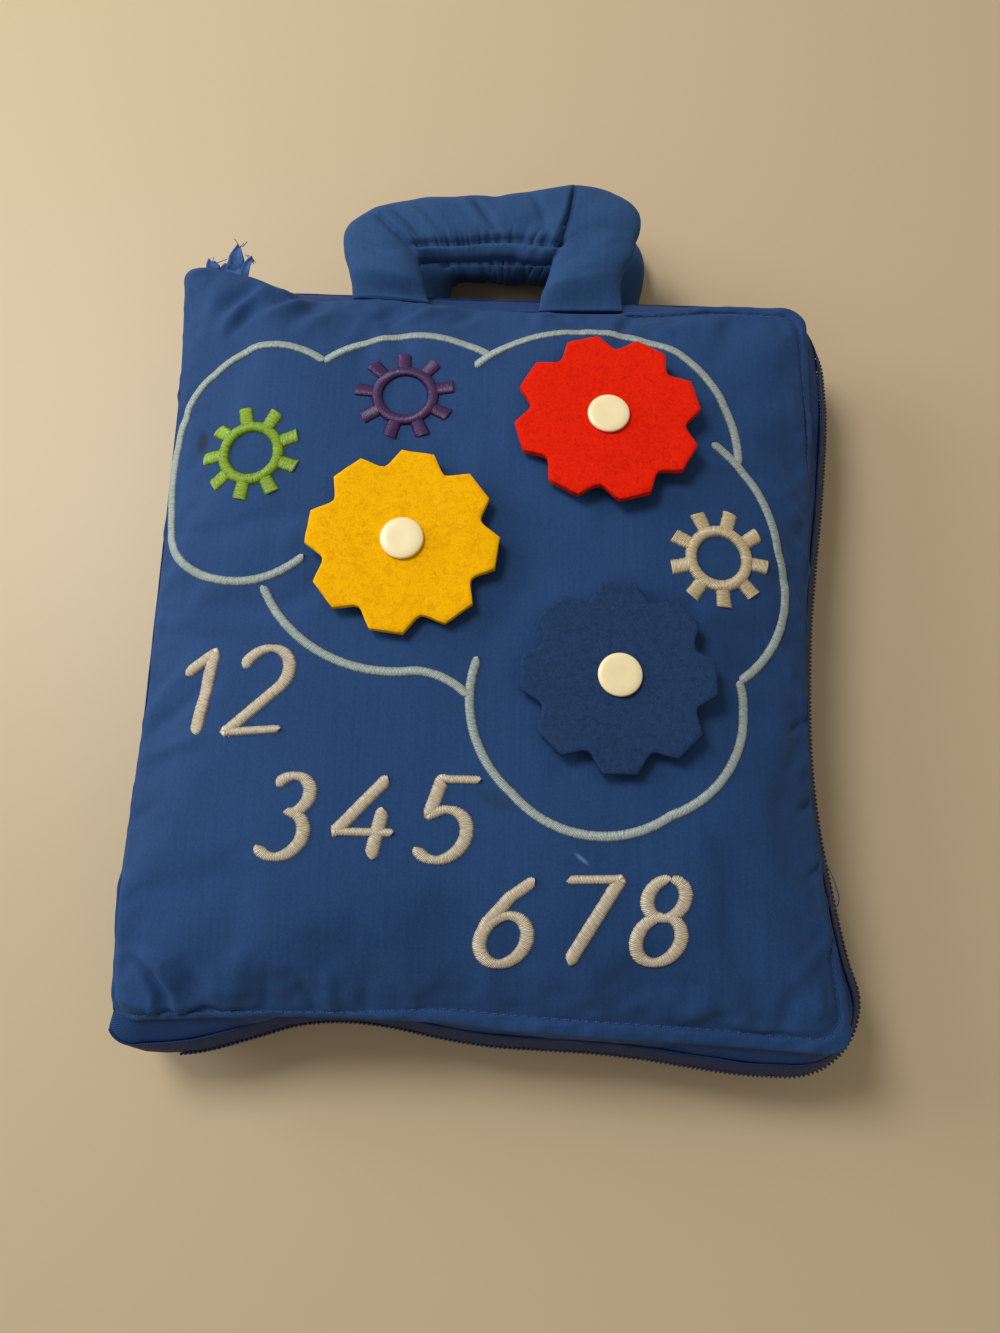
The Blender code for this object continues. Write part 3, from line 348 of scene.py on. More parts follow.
def bump(tree, shader, height, strength, distance, under=None):
    """Bumps the shader's normal by a height, over an earlier bump's normal if one is given."""
    inputs = {"Height": height, "Strength": strength, "Distance": distance}
    if under is not None:
        inputs["Normal"] = under
    normal = add(tree, "ShaderNodeBump", inputs).outputs["Normal"]
    tree.links.new(normal, shader.inputs["Normal"])
    return normal


def cotton(name, hex_colour, faded_hex, marks=(), creased=0.0):
    """Dyed cotton twill: matt, a little paler where it is rubbed, with a fine diagonal rib.

    The rib is drawn about twice as coarse as the cloth's own, so that it can show. creased adds
    the soft lengthwise creases of washed cloth as a bump, and darkens their hollows as painted shade.
    """
    made, tree, shader = new_material(name)
    place = object_place(tree)
    patch = mottled(tree, place, FADE_PATCH, 4.0)
    speckle = mottled(tree, place, SPECKLE, 2.0)
    faded = ramp(tree, patch.outputs["Fac"], ((0.35, 0), (0.7, 0.75)))
    colour = mixed(tree, faded, linear(hex_colour), linear(faded_hex))
    grain = ramp(tree, speckle.outputs["Fac"], ((0.3, 0.8), (0.72, 1.0)))
    colour = mixed(tree, 1.0, colour, grain, "MULTIPLY")
    if creased:
        drawn_out = stretched(tree, place, tuple(1 / size for size in CREASE_SIZE))
        crease = mottled(tree, drawn_out, 1.0, 3.0)
        # Painted shade: the cloth is darkened a little in the creases' hollows, where the crease bump
        # below is lowest.
        hollow_shade = ramp(tree, crease.outputs["Fac"], ((0.32, 1 - creased), (0.66, 1.0)))
        colour = mixed(tree, 1.0, colour, hollow_shade, "MULTIPLY")
    for mark_hex, mark_place, size, turn, strength in marks:
        reach = spot(tree, place, mark_place, size, turn)
        reach = ramp(tree, reach, ((0.0, 0), (0.6, strength)))
        colour = mixed(tree, reach, colour, linear(mark_hex))
    tree.links.new(colour, shader.inputs["Base Color"])
    rib = ribbed(tree, cloth_uv(tree), WEAVE_PITCH, "DIAGONAL", 1.2)
    nap = mottled(tree, place, COTTON_NAP, 5.0)
    relief = mixed(tree, 0.65, rib.outputs["Color"], nap.outputs["Color"])
    woven = bump(tree, shader, relief, 0.35, 0.12 * MM)
    if creased:
        bump(tree, shader, crease.outputs["Fac"], 0.4, 0.4 * MM, woven)
    set_shader(shader, roughness=0.85, sheen_weight=0.1, sheen_roughness=0.5)
    set_shader(shader, sheen_tint=linear("#9DB4D8"), specular_ior_level=0.3)
    return made


def felt(name, dark_hex, hex_colour, pale_hex):
    """Needled craft felt: matted short fibres, faintly mottled, quite matt."""
    made, tree, shader = new_material(name)
    place = object_place(tree)
    matted = mottled(tree, place, FELT_MAT, 6.0, 1.2)
    fibre = mottled(tree, place, FELT_FIBRE, 4.0, 2.5)
    dark = ramp(tree, matted.outputs["Fac"], ((0.3, 0.15), (0.55, 1)))
    colour = mixed(tree, dark, linear(dark_hex), linear(hex_colour))
    pale = ramp(tree, fibre.outputs["Fac"], ((0.52, 0), (0.78, 0.6)))
    colour = mixed(tree, pale, colour, linear(pale_hex))
    pits = ramp(tree, fibre.outputs["Fac"], ((0.33, 0.82), (0.5, 1.0)))
    colour = mixed(tree, 1.0, colour, pits, "MULTIPLY")
    tree.links.new(colour, shader.inputs["Base Color"])
    relief = mixed(tree, 0.55, matted.outputs["Color"], fibre.outputs["Color"])
    bump(tree, shader, relief, 0.6, 0.4 * MM)
    set_shader(shader, roughness=0.95, specular_ior_level=0.1)
    return made


def satin_thread(name, hex_colour, shade_hex):
    """Rayon embroidery thread in satin stitch: lustrous threads laid side by side, with painted shade
    in the grooves between them.
    """
    made, tree, shader = new_material(name)
    uv = cloth_uv(tree)
    lay = ribbed(tree, uv, THREAD_PITCH, "X", 0.8, 1.0)
    shade = mottled(tree, stretched(tree, uv, (1 / (0.5 * MM), 1 / (3 * MM), 1)), 1.0, 2.0)
    dark = ramp(tree, shade.outputs["Fac"], ((0.3, 0.0), (0.62, 1.0)))
    colour = mixed(tree, dark, linear(shade_hex), linear(hex_colour))
    # Painted shade: the grooves between the laid threads, where the thread bump is lowest, are darkened
    # to half.
    groove = ramp(tree, lay.outputs["Fac"], ((0.0, 0.5), (0.5, 1.0)))
    colour = mixed(tree, 1.0, colour, groove, "MULTIPLY")
    tree.links.new(colour, shader.inputs["Base Color"])
    bump(tree, shader, lay.outputs["Fac"], 0.9, 0.18 * MM)
    set_shader(shader, roughness=0.34, specular_ior_level=0.8)
    return made


def woven_tape(name, hex_colour, hollow_shade_share):
    """Woven polyester zip tape: a close herringbone with a slight shine, and painted shade in its rib's
    hollows.
    """
    made, tree, shader = new_material(name)
    parted = add(tree, "ShaderNodeSeparateXYZ", {"Vector": cloth_uv(tree)})
    folds = {0: parted.outputs["Y"], 1: HERRINGBONE}
    folded = add(tree, "ShaderNodeMath", folds, operation="PINGPONG")
    slants = {0: folded.outputs[0], 1: parted.outputs["X"]}
    slanted = add(tree, "ShaderNodeMath", slants, operation="ADD")
    joined = add(tree, "ShaderNodeCombineXYZ", {"X": slanted.outputs[0]})
    rib = ribbed(tree, joined.outputs[0], TAPE_RIB, "X")
    # Painted shade: the rib's hollows, where its bump is lowest, are darkened to the given share of the
    # colour.
    hollow_shade = ramp(tree, rib.outputs["Fac"], ((0.1, hollow_shade_share), (0.7, 1.0)))
    colour = mixed(tree, 1.0, linear(hex_colour), hollow_shade, "MULTIPLY")
    tree.links.new(colour, shader.inputs["Base Color"])
    bump(tree, shader, rib.outputs["Fac"], 0.6, 0.2 * MM)
    set_shader(shader, roughness=0.6, specular_ior_level=0.2)
    return made


def moulded(name, hex_colour, worn_hex, roughness, wear_size=6 * MM, **shader_values):
    """A moulded or painted hard surface with faint unevenness and a little handling wear."""
    made, tree, shader = new_material(name)
    place = object_place(tree)
    wear = mottled(tree, place, wear_size, 6.0)
    worn = ramp(tree, wear.outputs["Fac"], ((0.45, 0), (0.75, 0.6)))
    colour = mixed(tree, worn, linear(hex_colour), linear(worn_hex))
    tree.links.new(colour, shader.inputs["Base Color"])
    bump(tree, shader, mottled(tree, place, 0.7 * MM, 3.0).outputs["Fac"], 0.15, 0.05 * MM)
    set_shader(shader, roughness=roughness, **shader_values)
    return made


# Dark oily stain by the left edge, a smudge low in the middle and a chalky scuff beside it.
COVER_MARKS = (
    ("#1B2A33", (-101 * MM, 65.6 * MM, 50 * MM), (2.6 * MM, 5.6 * MM, 20 * MM), 2, 0.8),
    ("#1C3A4E", (5 * MM, -58 * MM, 55 * MM), (9 * MM, 3.5 * MM, 20 * MM), -20, 0.5),
    ("#5E7CA6", (32 * MM, -75.5 * MM, 55 * MM), (3.4 * MM, 0.8 * MM, 20 * MM), -38, 0.8),
)
COVER_COTTON = cotton("poplin_cotton_royal_blue", "#1C4274", "#224A80", COVER_MARKS, 0.04)
PLAIN_COTTON = cotton("twill_cotton_royal_blue", "#204373", "#284C80")
HANDLE_COTTON = cotton("twill_cotton_handle_blue", "#234A7A", "#2A5284", (), 0.03)
LEAF_COTTON = cotton("calico_cotton_sky_blue", "#4C78B4", "#5A87C0")
FRAYED_COTTON = cotton("frayed_cotton_blue", "#3F69A6", "#5A80B8")
WALL_CLOTH = woven_tape("woven_polyester_wall_navy", "#224680", 0.62)
TAPE_CLOTH = woven_tape("woven_polyester_navy", "#1A3464", 0.6)
COIL_NYLON = moulded("drawn_nylon_coil_navy", "#15264A", "#22396A", 0.4)
STITCH_THREAD = satin_thread("spun_polyester_thread_blue", "#234C8C", "#17366A")
SLIDER_PAINT = moulded(
    "enamelled_zinc_blue", "#1C3C7E", "#2C4F92", 0.32, 3 * MM, metallic=0.35, coat_weight=0.3
)
CAP_ACETAL = moulded("moulded_acetal_ivory", "#FBEBBC", "#F5E2AC", 0.3, 5 * MM)
FELT = {
    "yellow": felt("needled_felt_yellow", "#E6A200", "#FBBA00", "#FFCC14"),
    "red": felt("needled_felt_red", "#D21602", "#E82004", "#F83A16"),
    "blue": felt("needled_felt_navy", "#1E3456", "#253E66", "#3A5680"),
}
CLOUD_THREAD = satin_thread("rayon_thread_pale_blue", "#C4D4CC", "#93A9AE")
NUMBER_THREAD = satin_thread("rayon_thread_cream", "#F0E3CB", "#C8B896")
WHEEL_THREADS = {
    "green": satin_thread("rayon_thread_lime", "#A8D22C", "#6E9A10"),
    "purple": satin_thread("rayon_thread_violet", "#54286E", "#34124A"),
    "ivory": satin_thread("rayon_thread_sand", "#EFDCB2", "#C6B286"),
}


# Mesh helpers


def mesh_piece(name, points, faces, uvs, finish):
    """An object from points and faces, with a cloth UV map in metres."""
    mesh = bpy.data.meshes.new(name)
    mesh.from_pydata([tuple(point) for point in points], [], faces)
    mesh.validate()
    layer = mesh.uv_layers.new(name="cloth")
    for loop in mesh.loops:
        layer.data[loop.index].uv = uvs[loop.vertex_index]
    mesh.materials.append(finish)
    mesh.shade_smooth()
    made = bpy.data.objects.new(name, mesh)
    SCENE.collection.objects.link(made)
    return made


def apply_modifier(piece, name, kind, **settings):
    modifier = piece.modifiers.new(name, kind)
    for key, value in settings.items():
        setattr(modifier, key, value)
    select_only(piece)
    bpy.ops.object.modifier_apply(modifier=name)
    deselect()


def subdivide(piece):
    apply_modifier(piece, "finer", "SUBSURF", levels=1, render_levels=1)


def coords_of(piece):
    made = np.empty(len(piece.data.vertices) * 3, np.float64)
    piece.data.vertices.foreach_get("co", made)
    return made.reshape(-1, 3)


def normals_of(piece):
    made = np.empty(len(piece.data.vertices) * 3, np.float64)
    piece.data.vertices.foreach_get("normal", made)
    return made.reshape(-1, 3)


def set_coords(piece, coords):
    piece.data.vertices.foreach_set("co", coords.astype(np.float32).ravel())
    piece.data.update()


def join_loops(faces, lower, upper):
    """Quads between two loops of indices that run anticlockwise seen from above."""
    count = len(lower)
    for k in range(count):
        following = (k + 1) % count
        faces.append((lower[k], lower[following], upper[following], upper[k]))


def skin(faces, loops):
    """Quads round a run of loops, with its two ends closed."""
    for first, second in zip(loops, loops[1:]):
        join_loops(faces, first, second)
    faces.append(tuple(reversed(loops[0])))
    faces.append(tuple(loops[-1]))


def closed_piece(name, points, faces, uvs, finish):
    """A piece whose faces all turn outward."""
    made = mesh_piece(name, points, faces, uvs, finish)
    bm = bmesh.new()
    bm.from_mesh(made.data)
    bmesh.ops.recalc_face_normals(bm, faces=bm.faces)
    bm.to_mesh(made.data)
    bm.free()
    return made


def lengths_along(points):
    """How far along a line each of its points lies."""
    made = [0.0]
    for start, end in zip(points, points[1:]):
        made.append(made[-1] + (end - start).length)
    return made


def finish_piece(piece, body, stands_for=()):
    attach(piece, body)
    if stands_for:
        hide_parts(*stands_for)
    return piece


SWELL_FRAMES = 20


def settle(piece, pin_weights, cap, pressure, growth, bending):
    """Lets a sewn pad swell and pucker, while its seams are kept still."""
    start = coords_of(piece)
    pinned = piece.vertex_groups.new(name="sewn")
    for index, weight in enumerate(pin_weights):
        if weight > 0.01:
            pinned.add([index], float(weight), "REPLACE")
    cloth = piece.modifiers.new("swell", "CLOTH")
    settings = cloth.settings
    settings.quality = 6
    settings.mass = 0.1
    settings.tension_stiffness = 25
    settings.compression_stiffness = 25
    settings.shear_stiffness = 10
    settings.bending_stiffness = bending
    settings.air_damping = 2
    settings.use_pressure = True
    settings.uniform_pressure_force = pressure
    settings.shrink_min = -growth
    settings.vertex_group_mass = "sewn"
    settings.effector_weights.gravity = 0
    cloth.collision_settings.use_collision = False
    for step in range(1, SWELL_FRAMES + 1):
        SCENE.frame_set(step)
    depsgraph = bpy.context.evaluated_depsgraph_get()
    swollen = piece.evaluated_get(depsgraph).to_mesh()
    ended = np.empty(len(swollen.vertices) * 3, np.float64)
    swollen.vertices.foreach_get("co", ended)
    piece.evaluated_get(depsgraph).to_mesh_clear()
    moved = ended.reshape(-1, 3) - start
    lengths = np.linalg.norm(moved, axis=1, keepdims=True)
    moved *= np.minimum(1, cap / np.maximum(lengths, 1e-9))
    piece.modifiers.remove(cloth)
    piece.vertex_groups.clear()
    SCENE.frame_set(1)
    set_coords(piece, start + moved)


# The covers and leaves


def table_value(table, place):
    """A smooth curve through a table's values, level beyond its ends."""
    places = [row[0] for row in table]
    values = [row[1] for row in table]
    if place <= places[0] or place >= places[-1]:
        return values[0] if place <= places[0] else values[-1]
    slopes = [0.0]
    for k in range(1, len(table) - 1):
        slopes.append((values[k + 1] - values[k - 1]) / (places[k + 1] - places[k - 1]))
    slopes.append(0.0)
    low = max(k for k in range(len(table) - 1) if places[k] <= place)
    span = places[low + 1] - places[low]
    share = (place - places[low]) / span
    near, far = (1 - share) ** 2, share**2
    return (
        values[low] * near * (1 + 2 * share)
        + slopes[low] * span * near * share
        + values[low + 1] * far * (3 - 2 * share)
        - slopes[low + 1] * span * far * (1 - share)
    )


def front_drape(point):
    """The front cover's own shape: an ear at the top of the spine, and uneven free edges."""
    above = smooth(point.y / HALF_HEIGHT)
    below = smooth(-point.y / HALF_HEIGHT)
    across = smooth((point.x - HINGE_X) / (2 * HALF_WIDTH))
    eared = smooth((HINGE_X + EAR_REACH - point.x) / EAR_REACH)
    rise = above * (FRONT_TOP_RISE + EAR_HEIGHT * eared)
    rise += below * table_value(LOW_LIFTS, point.x / HALF_WIDTH) * MM
    shift = across * table_value(RIGHT_SHIFTS, point.y / HALF_HEIGHT) * MM
    return point + Vector((shift, rise))


def rounded_edge(a, b, half_width, half_height, corner, pinch):
    """The edge of a rounded panel towards (a, b), a place on the rim of the square from -1 to 1."""
    point = Vector((a * half_width, b * half_height))
    flat_x, flat_y = half_width - corner, half_height - corner
    core = Vector((clamp(point.x, -flat_x, flat_x), clamp(point.y, -flat_y, flat_y)))
    away = point - core
    if away.x and away.y:
        return core + away.normalized() * corner
    if abs(b) >= abs(a):
        share = clamp((point.x + flat_x) / (2 * flat_x), 0, 1)
        point.y -= math.copysign(pinch * math.sin(math.pi * share) ** 2, b)
    elif a > 0:
        share = clamp((point.y + flat_y) / (2 * flat_y), 0, 1)
        point.x -= pinch * math.sin(math.pi * share) ** 2
    return point


def back_edge(a, b):
    return rounded_edge(a, b, HALF_WIDTH, HALF_HEIGHT, PANEL_CORNER, PANEL_PINCH)


def front_edge(a, b):
    """The front cover's edge, which also rolls in and out a little at the spine and the top."""
    flat = back_edge(a, b)
    left = smooth((HINGE_X + LEFT_REACH - flat.x) / LEFT_REACH)
    above = smooth(2 * flat.y / HALF_HEIGHT - 1)
    shift = left * table_value(LEFT_SHIFTS, flat.y / HALF_HEIGHT)
    rise = above * table_value(TOP_SHIFTS, flat.x / HALF_WIDTH)
    return front_drape(flat) + Vector((shift, rise)) * MM


def front_seam_share(a, b):
    """Where the stitched line runs on the way to the edge at (a, b)."""
    if abs(b) >= abs(a):
        width = table_value(BORDER_WIDTHS["top" if b > 0 else "low"], a)
    else:
        width = table_value(BORDER_WIDTHS["right" if a > 0 else "left"], b)
    return 1 - (1 - BORDER_SHARE) * width


def box_centre(node):
    low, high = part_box(node)
    return ((low + high) / 2).to_2d()


def rim_walk(columns, rows):
    """The places round a grid's rim, anticlockwise from its low left corner."""
    walk = [(i, 0) for i in range(columns)]
    walk += [(columns, j) for j in range(rows)]
    walk += [(columns - i, rows) for i in range(columns)]
    walk += [(0, rows - j) for j in range(rows)]
    return walk


def spread(step, count):
    """Grid lines from -1 to 1 that lie closer together towards the seams."""
    place = 2 * step / count - 1
    return place * (1.3 - 0.3 * abs(place))


def sewn_pad(
    name,
    edge,
    centre,
    upper,
    lower,
    border,
    seam,
    cells,
    seam_share,
    finish,
    seam_at=None,
    height_at=None,
):
    """A closed pad: two faces over a square grid, joined by the rings of a sewn border.

    seam_at moves the stitched line from its usual share of the way to the edge, and height_at
    gives a ring's height round the pad. Returns the object and each point's share of the way
    from the middle to the edge.
    """
    columns, rows = cells
    points, uvs, faces, shares = [], [], [], []

    def moved(a, b, share):
        if seam_at is None:
            return share
        own = seam_at(a, b)
        if share <= seam_share:
            return share * own / seam_share
        return own + (share - seam_share) * (1 - own) / (1 - seam_share)

    def lay(a, b, share, z):
        place = centre + (edge(a, b) - centre) * moved(a, b, share)
        points.append((place.x, place.y, z))
        uvs.append((place.x, place.y))
        shares.append(share)

    grids = []
    for height in (upper, lower):
        start = len(points)
        for j in range(rows + 1):
            for i in range(columns + 1):
                a, b = spread(i, columns), spread(j, rows)
                most = max(abs(a), abs(b))
                way = (a / most, b / most) if most else (1, 0)
                share = most * seam_share
                lay(*way, share, height(share))
        grids.append(start)
    for start, turned in zip(grids, (False, True)):
        for j in range(rows):
            for i in range(columns):
                first = start + j * (columns + 1) + i
                face = (first, first + 1, first + columns + 2, first + columns + 1)
                faces.append(face[::-1] if turned else face)
    walk = rim_walk(columns, rows)
    loops = [[grids[0] + j * (columns + 1) + i for i, j in walk]]
    for ring, (share, offset) in enumerate(border):
        loop = []
        for i, j in walk:
            a, b = spread(i, columns), spread(j, rows)
            loop.append(len(points))
            lay(a, b, share, seam + (height_at(a, b, ring) if height_at else offset))
        loops.append(loop)
    loops.append([grids[1] + j * (columns + 1) + i for i, j in walk])
    for above, below in zip(loops, loops[1:]):
        join_loops(faces, below, above)
    return mesh_piece(name, points, faces, uvs, finish), np.array(shares)


def crown(share):
    """How high a puffy pad stands at a share of the way from its middle to its border."""
    return (1 - min(1, share / BORDER_SHARE) ** 3.4) ** 0.6


def front_upper(share):
    return FRONT_SEAM + 0.6 * HALF_BORDER + (FRONT_CROWN + 0.4 * HALF_BORDER) * crown(share)


def front_lower(share):
    return FRONT_SEAM - HALF_BORDER - (FRONT_SEAM - FRONT_INNER - HALF_BORDER) * crown(share)


def back_upper(share):
    return BACK_SEAM + HALF_BORDER + (BACK_INNER - BACK_SEAM - HALF_BORDER) * crown(share)


def back_lower(share):
    outside = max(0, (share - BACK_REST_SHARE) / (1 - BACK_REST_SHARE))
    return (BACK_SEAM - HALF_BORDER) * min(1, outside) ** 2


# Ring places and heights of a sewn border: a stitched groove, a flat flange and a rounded edge
FRONT_BORDER = (
    (0.9655, 0.55 * MM), (0.9700, 1.15 * MM), (0.9780, 1.25 * MM), (0.9900, 0.85 * MM),
    (0.9975, 0.3 * MM), (1.0000, -0.4 * MM), (0.9975, -0.85 * MM), (0.9880, -1.20 * MM),
    (0.9740, -1.20 * MM),
)
# Heights of the same rings where the border is narrow and the puffed cloth rolls over it
ROLLED_HEIGHTS = (0.5, 0.3, 0.1, -0.2, -0.5, -0.8, -1.0, -1.2, -1.2)
BACK_BORDER = (
    (0.9700, 1.15 * MM), (0.9880, 1.20 * MM), (0.9975, 0.85 * MM), (1.0000, 0.0 * MM),
    (0.9975, -0.85 * MM), (0.9880, -1.00 * MM),
)


def border_width(a, b):
    """How wide the front cover's border is towards (a, b), as a share of the widest."""
    return (1 - front_seam_share(a, b)) / (1 - BORDER_SHARE)


def front_ring_height(a, b, ring):
    """A ring's height over the seam: on a flat flange, or on a roll where it is narrow."""
    wide = smooth((border_width(a, b) - 0.25) / 0.3)
    rolled = ROLLED_HEIGHTS[ring] * MM
    return rolled + (FRONT_BORDER[ring][1] - rolled) * wide


# Folds in the front cover, as (places in millimetres on the cover, half width, height)
COVER_FOLDS = (
    (((-99.2, 117.5), (-86.9, 130.3)), 4.0, -1.7),
    (((-97.5, 109.0), (-92, 118), (-84.7, 128.6)), 3.4, 1.8),
    (((-81.5, 119.5), (-69.5, 128.5)), 3.6, -1.6),
    (((-82.0, 113.4), (-74, 120), (-69.1, 126.0)), 3.4, 1.5),
    (((-93.8, 108.0), (-87.2, 117.2)), 2.8, -1.2),
    (((-108, 100), (-103, 118), (-100, 131)), 4.5, 0.9),
    (((-113.8, 122.6), (-112.2, 116.1)), 1.6, -1.2),
    (((-65, 127), (-68, 118), (-74, 109)), 3.2, -1.1),
    (((-56, 127), (-60, 117), (-68, 107)), 3.6, 1.0),
    (((-17.1, 125.1), (-32.8, 115.7)), 3.5, 1.5),
    (((-23, 126), (-40, 112)), 2.6, -1.0),
    (((-34.6, 120.9), (-44.3, 115.3)), 3.0, -1.2),
    (((-6, 126), (-14, 116)), 3.0, -0.8),
    (((20, 126), (16, 116)), 3.4, 0.8),
    (((50.6, 124.2), (46.6, 115.4)), 2.6, -1.5),
    (((58, 124), (63, 112)), 4.0, 0.9),
    (((86, 124), (84, 112)), 4.5, -0.5),
    (((-110, -38), (-88, -22)), 3.4, -1.4),
    (((-111, -30), (-92, -12)), 3.6, 0.9),
    (((-111, -45), (-90, -40)), 3.0, 1.1),
    (((-112, 34), (-101, 30)), 2.4, -0.9),
    (((-113, 6), (-104, 2)), 2.6, -0.8),
    (((-113, -66), (-103, -61)), 2.8, -0.9),
    (((-113, 78), (-104, 76)), 2.6, -0.7),
    (((-110.5, -107), (-103.3, -114.5), (-99.6, -118.9), (-99.9, -124.6)), 1.5, 1.3),
    (((-105.6, -108), (-98.5, -111.4), (-94.5, -116.7), (-91.5, -124)), 2.6, 2.0),
    (((-107, -109), (-101, -113.5), (-96.0, -119.5), (-95.5, -124)), 2.6, -2.2),
    (((-91, -112), (-86, -119), (-82, -125)), 3.8, -1.8),
    (((-111.2, -121.0), (-100.1, -124.2)), 1.6, 0.9),
    (((-76, -125), (-72, -104)), 4.0, 0.7),
    (((-66, -125), (-64, -112)), 2.6, -0.8),
    (((-53.5, -116.3), (-48.5, -124.1)), 2.2, -1.3),
    (((-44, -125), (-46, -112)), 2.4, 0.9),
    (((-33, -126), (-35, -114)), 2.4, -0.8),
    (((-18, -126), (-22, -108)), 3.4, 0.7),
    (((6, -126), (2, -104)), 5.0, 0.6),
    (((38, -127), (34, -106)), 5.0, 0.6),
    (((76.0, -116.6), (78.9, -127.0)), 3.6, -0.8),
    (((99.8, -114.3), (95.5, -127.4)), 3.8, -1.1),
    (((108.8, -112.5), (106.5, -124.0)), 3.6, 1.2),
    (((106, 36.5), (110.4, 30.0)), 1.6, 1.0),
    (((102.5, 30.2), (109.8, 18.4)), 1.8, 1.1),
    (((103.5, 18), (106.9, 10), (109.6, 1.1)), 2.0, 1.2),
    (((102.5, 50.3), (111.4, 42.3)), 2.2, 0.8),
    (((105, 62), (111.5, 54)), 2.4, -0.8),
    (((97.5, -2.2), (105.0, -12.2)), 3.2, 1.0),
    (((105.3, -15.8), (107.9, -27.0)), 1.6, 1.1),
    (((101.0, -109.4), (113.6, -97.0)), 3.4, 0.9),
    (((109.5, -26.3), (102.0, -31.8)), 1.6, -1.6),
    (((111.0, -53.7), (103.7, -58.3)), 1.8, -1.5),
    (((113.0, -74.3), (106.2, -79.2)), 1.8, -1.4),
    (((110, -40), (100, -48)), 2.6, 0.7),
)
BROAD_WAVE = 46 * MM
PUCKER_PITCH = 6 * MM


def polyline_place(flat, line):
    """How far each flat point lies from a line, and how far along the line, from 0 to 1."""
    away = np.full(len(flat), np.inf)
    share = np.zeros(len(flat))
    lengths = [np.linalg.norm(b - a) for a, b in zip(line, line[1:])]
    before = 0.0
    for (a, b), length in zip(zip(line, line[1:]), lengths):
        along = np.clip((flat - a) @ (b - a) / length**2, 0, 1)
        reach = np.linalg.norm(flat - a - along[:, None] * (b - a), axis=1)
        nearer = reach < away
        away = np.where(nearer, reach, away)
        share = np.where(nearer, (before + along * length) / sum(lengths), share)
        before += length
    return away, share


def fold_cloth(coords, normals, shares):
    """Designed folds, puckers along the seam and a broad unevenness, along each point's normal."""
    flat = coords[:, :2] / MM
    height = np.zeros(len(coords))
    for places, half_width, rise in COVER_FOLDS:
        away, share = polyline_place(flat, [np.array(place, float) for place in places])
        fade = np.sin(math.pi * np.clip(0.15 + 0.72 * share, 0, 1)) ** 0.8
        across = (away / half_width) ** 2
        height += rise * MM * fade * (1 - 0.45 * across) * np.exp(-across)
    near_seam = np.clip((shares - 0.84) / 0.09, 0, 1) * np.clip((0.9615 - shares) / 0.02, 0, 1)
    on_border = np.clip((shares - 0.968) / 0.006, 0, 1) * np.clip((1 - shares) / 0.004, 0, 1)
    on_border *= normals[:, 2] > 0.2
    drawn_up = np.zeros(len(coords))
    for i, point in enumerate(coords):
        place = Vector(point)
        broad = noise.noise(place / BROAD_WAVE)
        fine = noise.noise(place / (19 * MM) + Vector((7.1, 3.3, 0)))
        height[i] += (0.45 * broad + 0.14 * fine) * MM
        if near_seam[i] > 0 or on_border[i] > 0:
            # Close puckers on both sides of the seam, with looser ones among them.
            spot_on = Vector((point[0], point[1], 0)) / PUCKER_PITCH
            close = noise.noise(spot_on)
            loose = noise.noise(spot_on * 0.42 + Vector((3.7, 1.9, 0)))
            height[i] += (0.7 * close + 0.8 * loose) * MM * near_seam[i]
            drawn_up[i] = (0.7 * close + 0.8 * loose) * MM * on_border[i]
    for place, _axis in snap_places().values():
        # The padding swells up round each stud, so that the felt lies close to it.
        reach = np.linalg.norm(coords[:, :2] - np.array(place.xy), axis=1) / MM
        rising = np.clip((reach - 7.5) / 4, 0, 1)
        fading = 1 - np.clip((reach - 20) / 24, 0, 1)
        height += 2.2 * MM * (rising * fading) ** 1.5 * (normals[:, 2] > 0.3)
    keep = np.clip((0.97 - shares) / 0.01, 0, 1)
    return coords + normals * (height * keep + drawn_up)[:, None]


def snap_places():
    """Where each stud goes through the front cover, and the stud's axis."""
    made = {}
    for colour in COG_TURNS:
        joint = JOINTS[f"{colour}_spin"]
        made[colour] = (Vector(joint["pos_m"]), Vector(joint["axis"]).normalized())
    return made


def share_attribute(piece, shares):
    layer = piece.data.attributes.new("share", "FLOAT", "POINT")
    layer.data.foreach_set("value", shares.astype(np.float32))


def read_shares(piece):
    layer = piece.data.attributes["share"]
    made = np.empty(len(piece.data.vertices), np.float32)
    layer.data.foreach_get("value", made)
    piece.data.attributes.remove(layer)
    return made.astype(np.float64)


SLACK_SHARE = 0.9
SWELL_LIMIT = 1.8 * MM


def make_front_cover():
    """The pad starts a little flat, swells against its seams and is kept near its drawn form."""
    cover, shares = sewn_pad(
        "front_cover_cloth",
        front_edge,
        box_centre("front_cover"),
        front_upper,
        front_lower,
        FRONT_BORDER,
        FRONT_SEAM,
        (98, 112),
        BORDER_SHARE,
        COVER_COTTON,
        front_seam_share,
        front_ring_height,
    )
    drawn = coords_of(cover)
    pins = np.where(shares >= BORDER_SHARE - 1e-6, 1.0, 0.0)
    for place, _axis in snap_places().values():
        reach = np.linalg.norm(drawn[:, :2] - np.array(place.xy), axis=1)
        pins = np.maximum(pins, 1 - np.clip((reach - 9 * MM) / (14 * MM), 0, 1))
    flat = drawn.copy()
    flat[:, 2] = FRONT_SEAM + (drawn[:, 2] - FRONT_SEAM) * (1 - (1 - SLACK_SHARE) * (1 - pins))
    set_coords(cover, flat)
    share_attribute(cover, shares)
    settle(cover, pins, cap=4 * MM, pressure=2.5, growth=0.012, bending=1.5)
    moved = coords_of(cover) - drawn
    lengths = np.linalg.norm(moved, axis=1, keepdims=True)
    moved *= SWELL_LIMIT * np.tanh(lengths / SWELL_LIMIT) / np.maximum(lengths, 1e-9)
    set_coords(cover, drawn + moved)
    subdivide(cover)
    shares = read_shares(cover)
    coords, normals = coords_of(cover), normals_of(cover)
    set_coords(cover, fold_cloth(coords, normals, shares))
    return finish_piece(cover, "front", ["front_cover"])


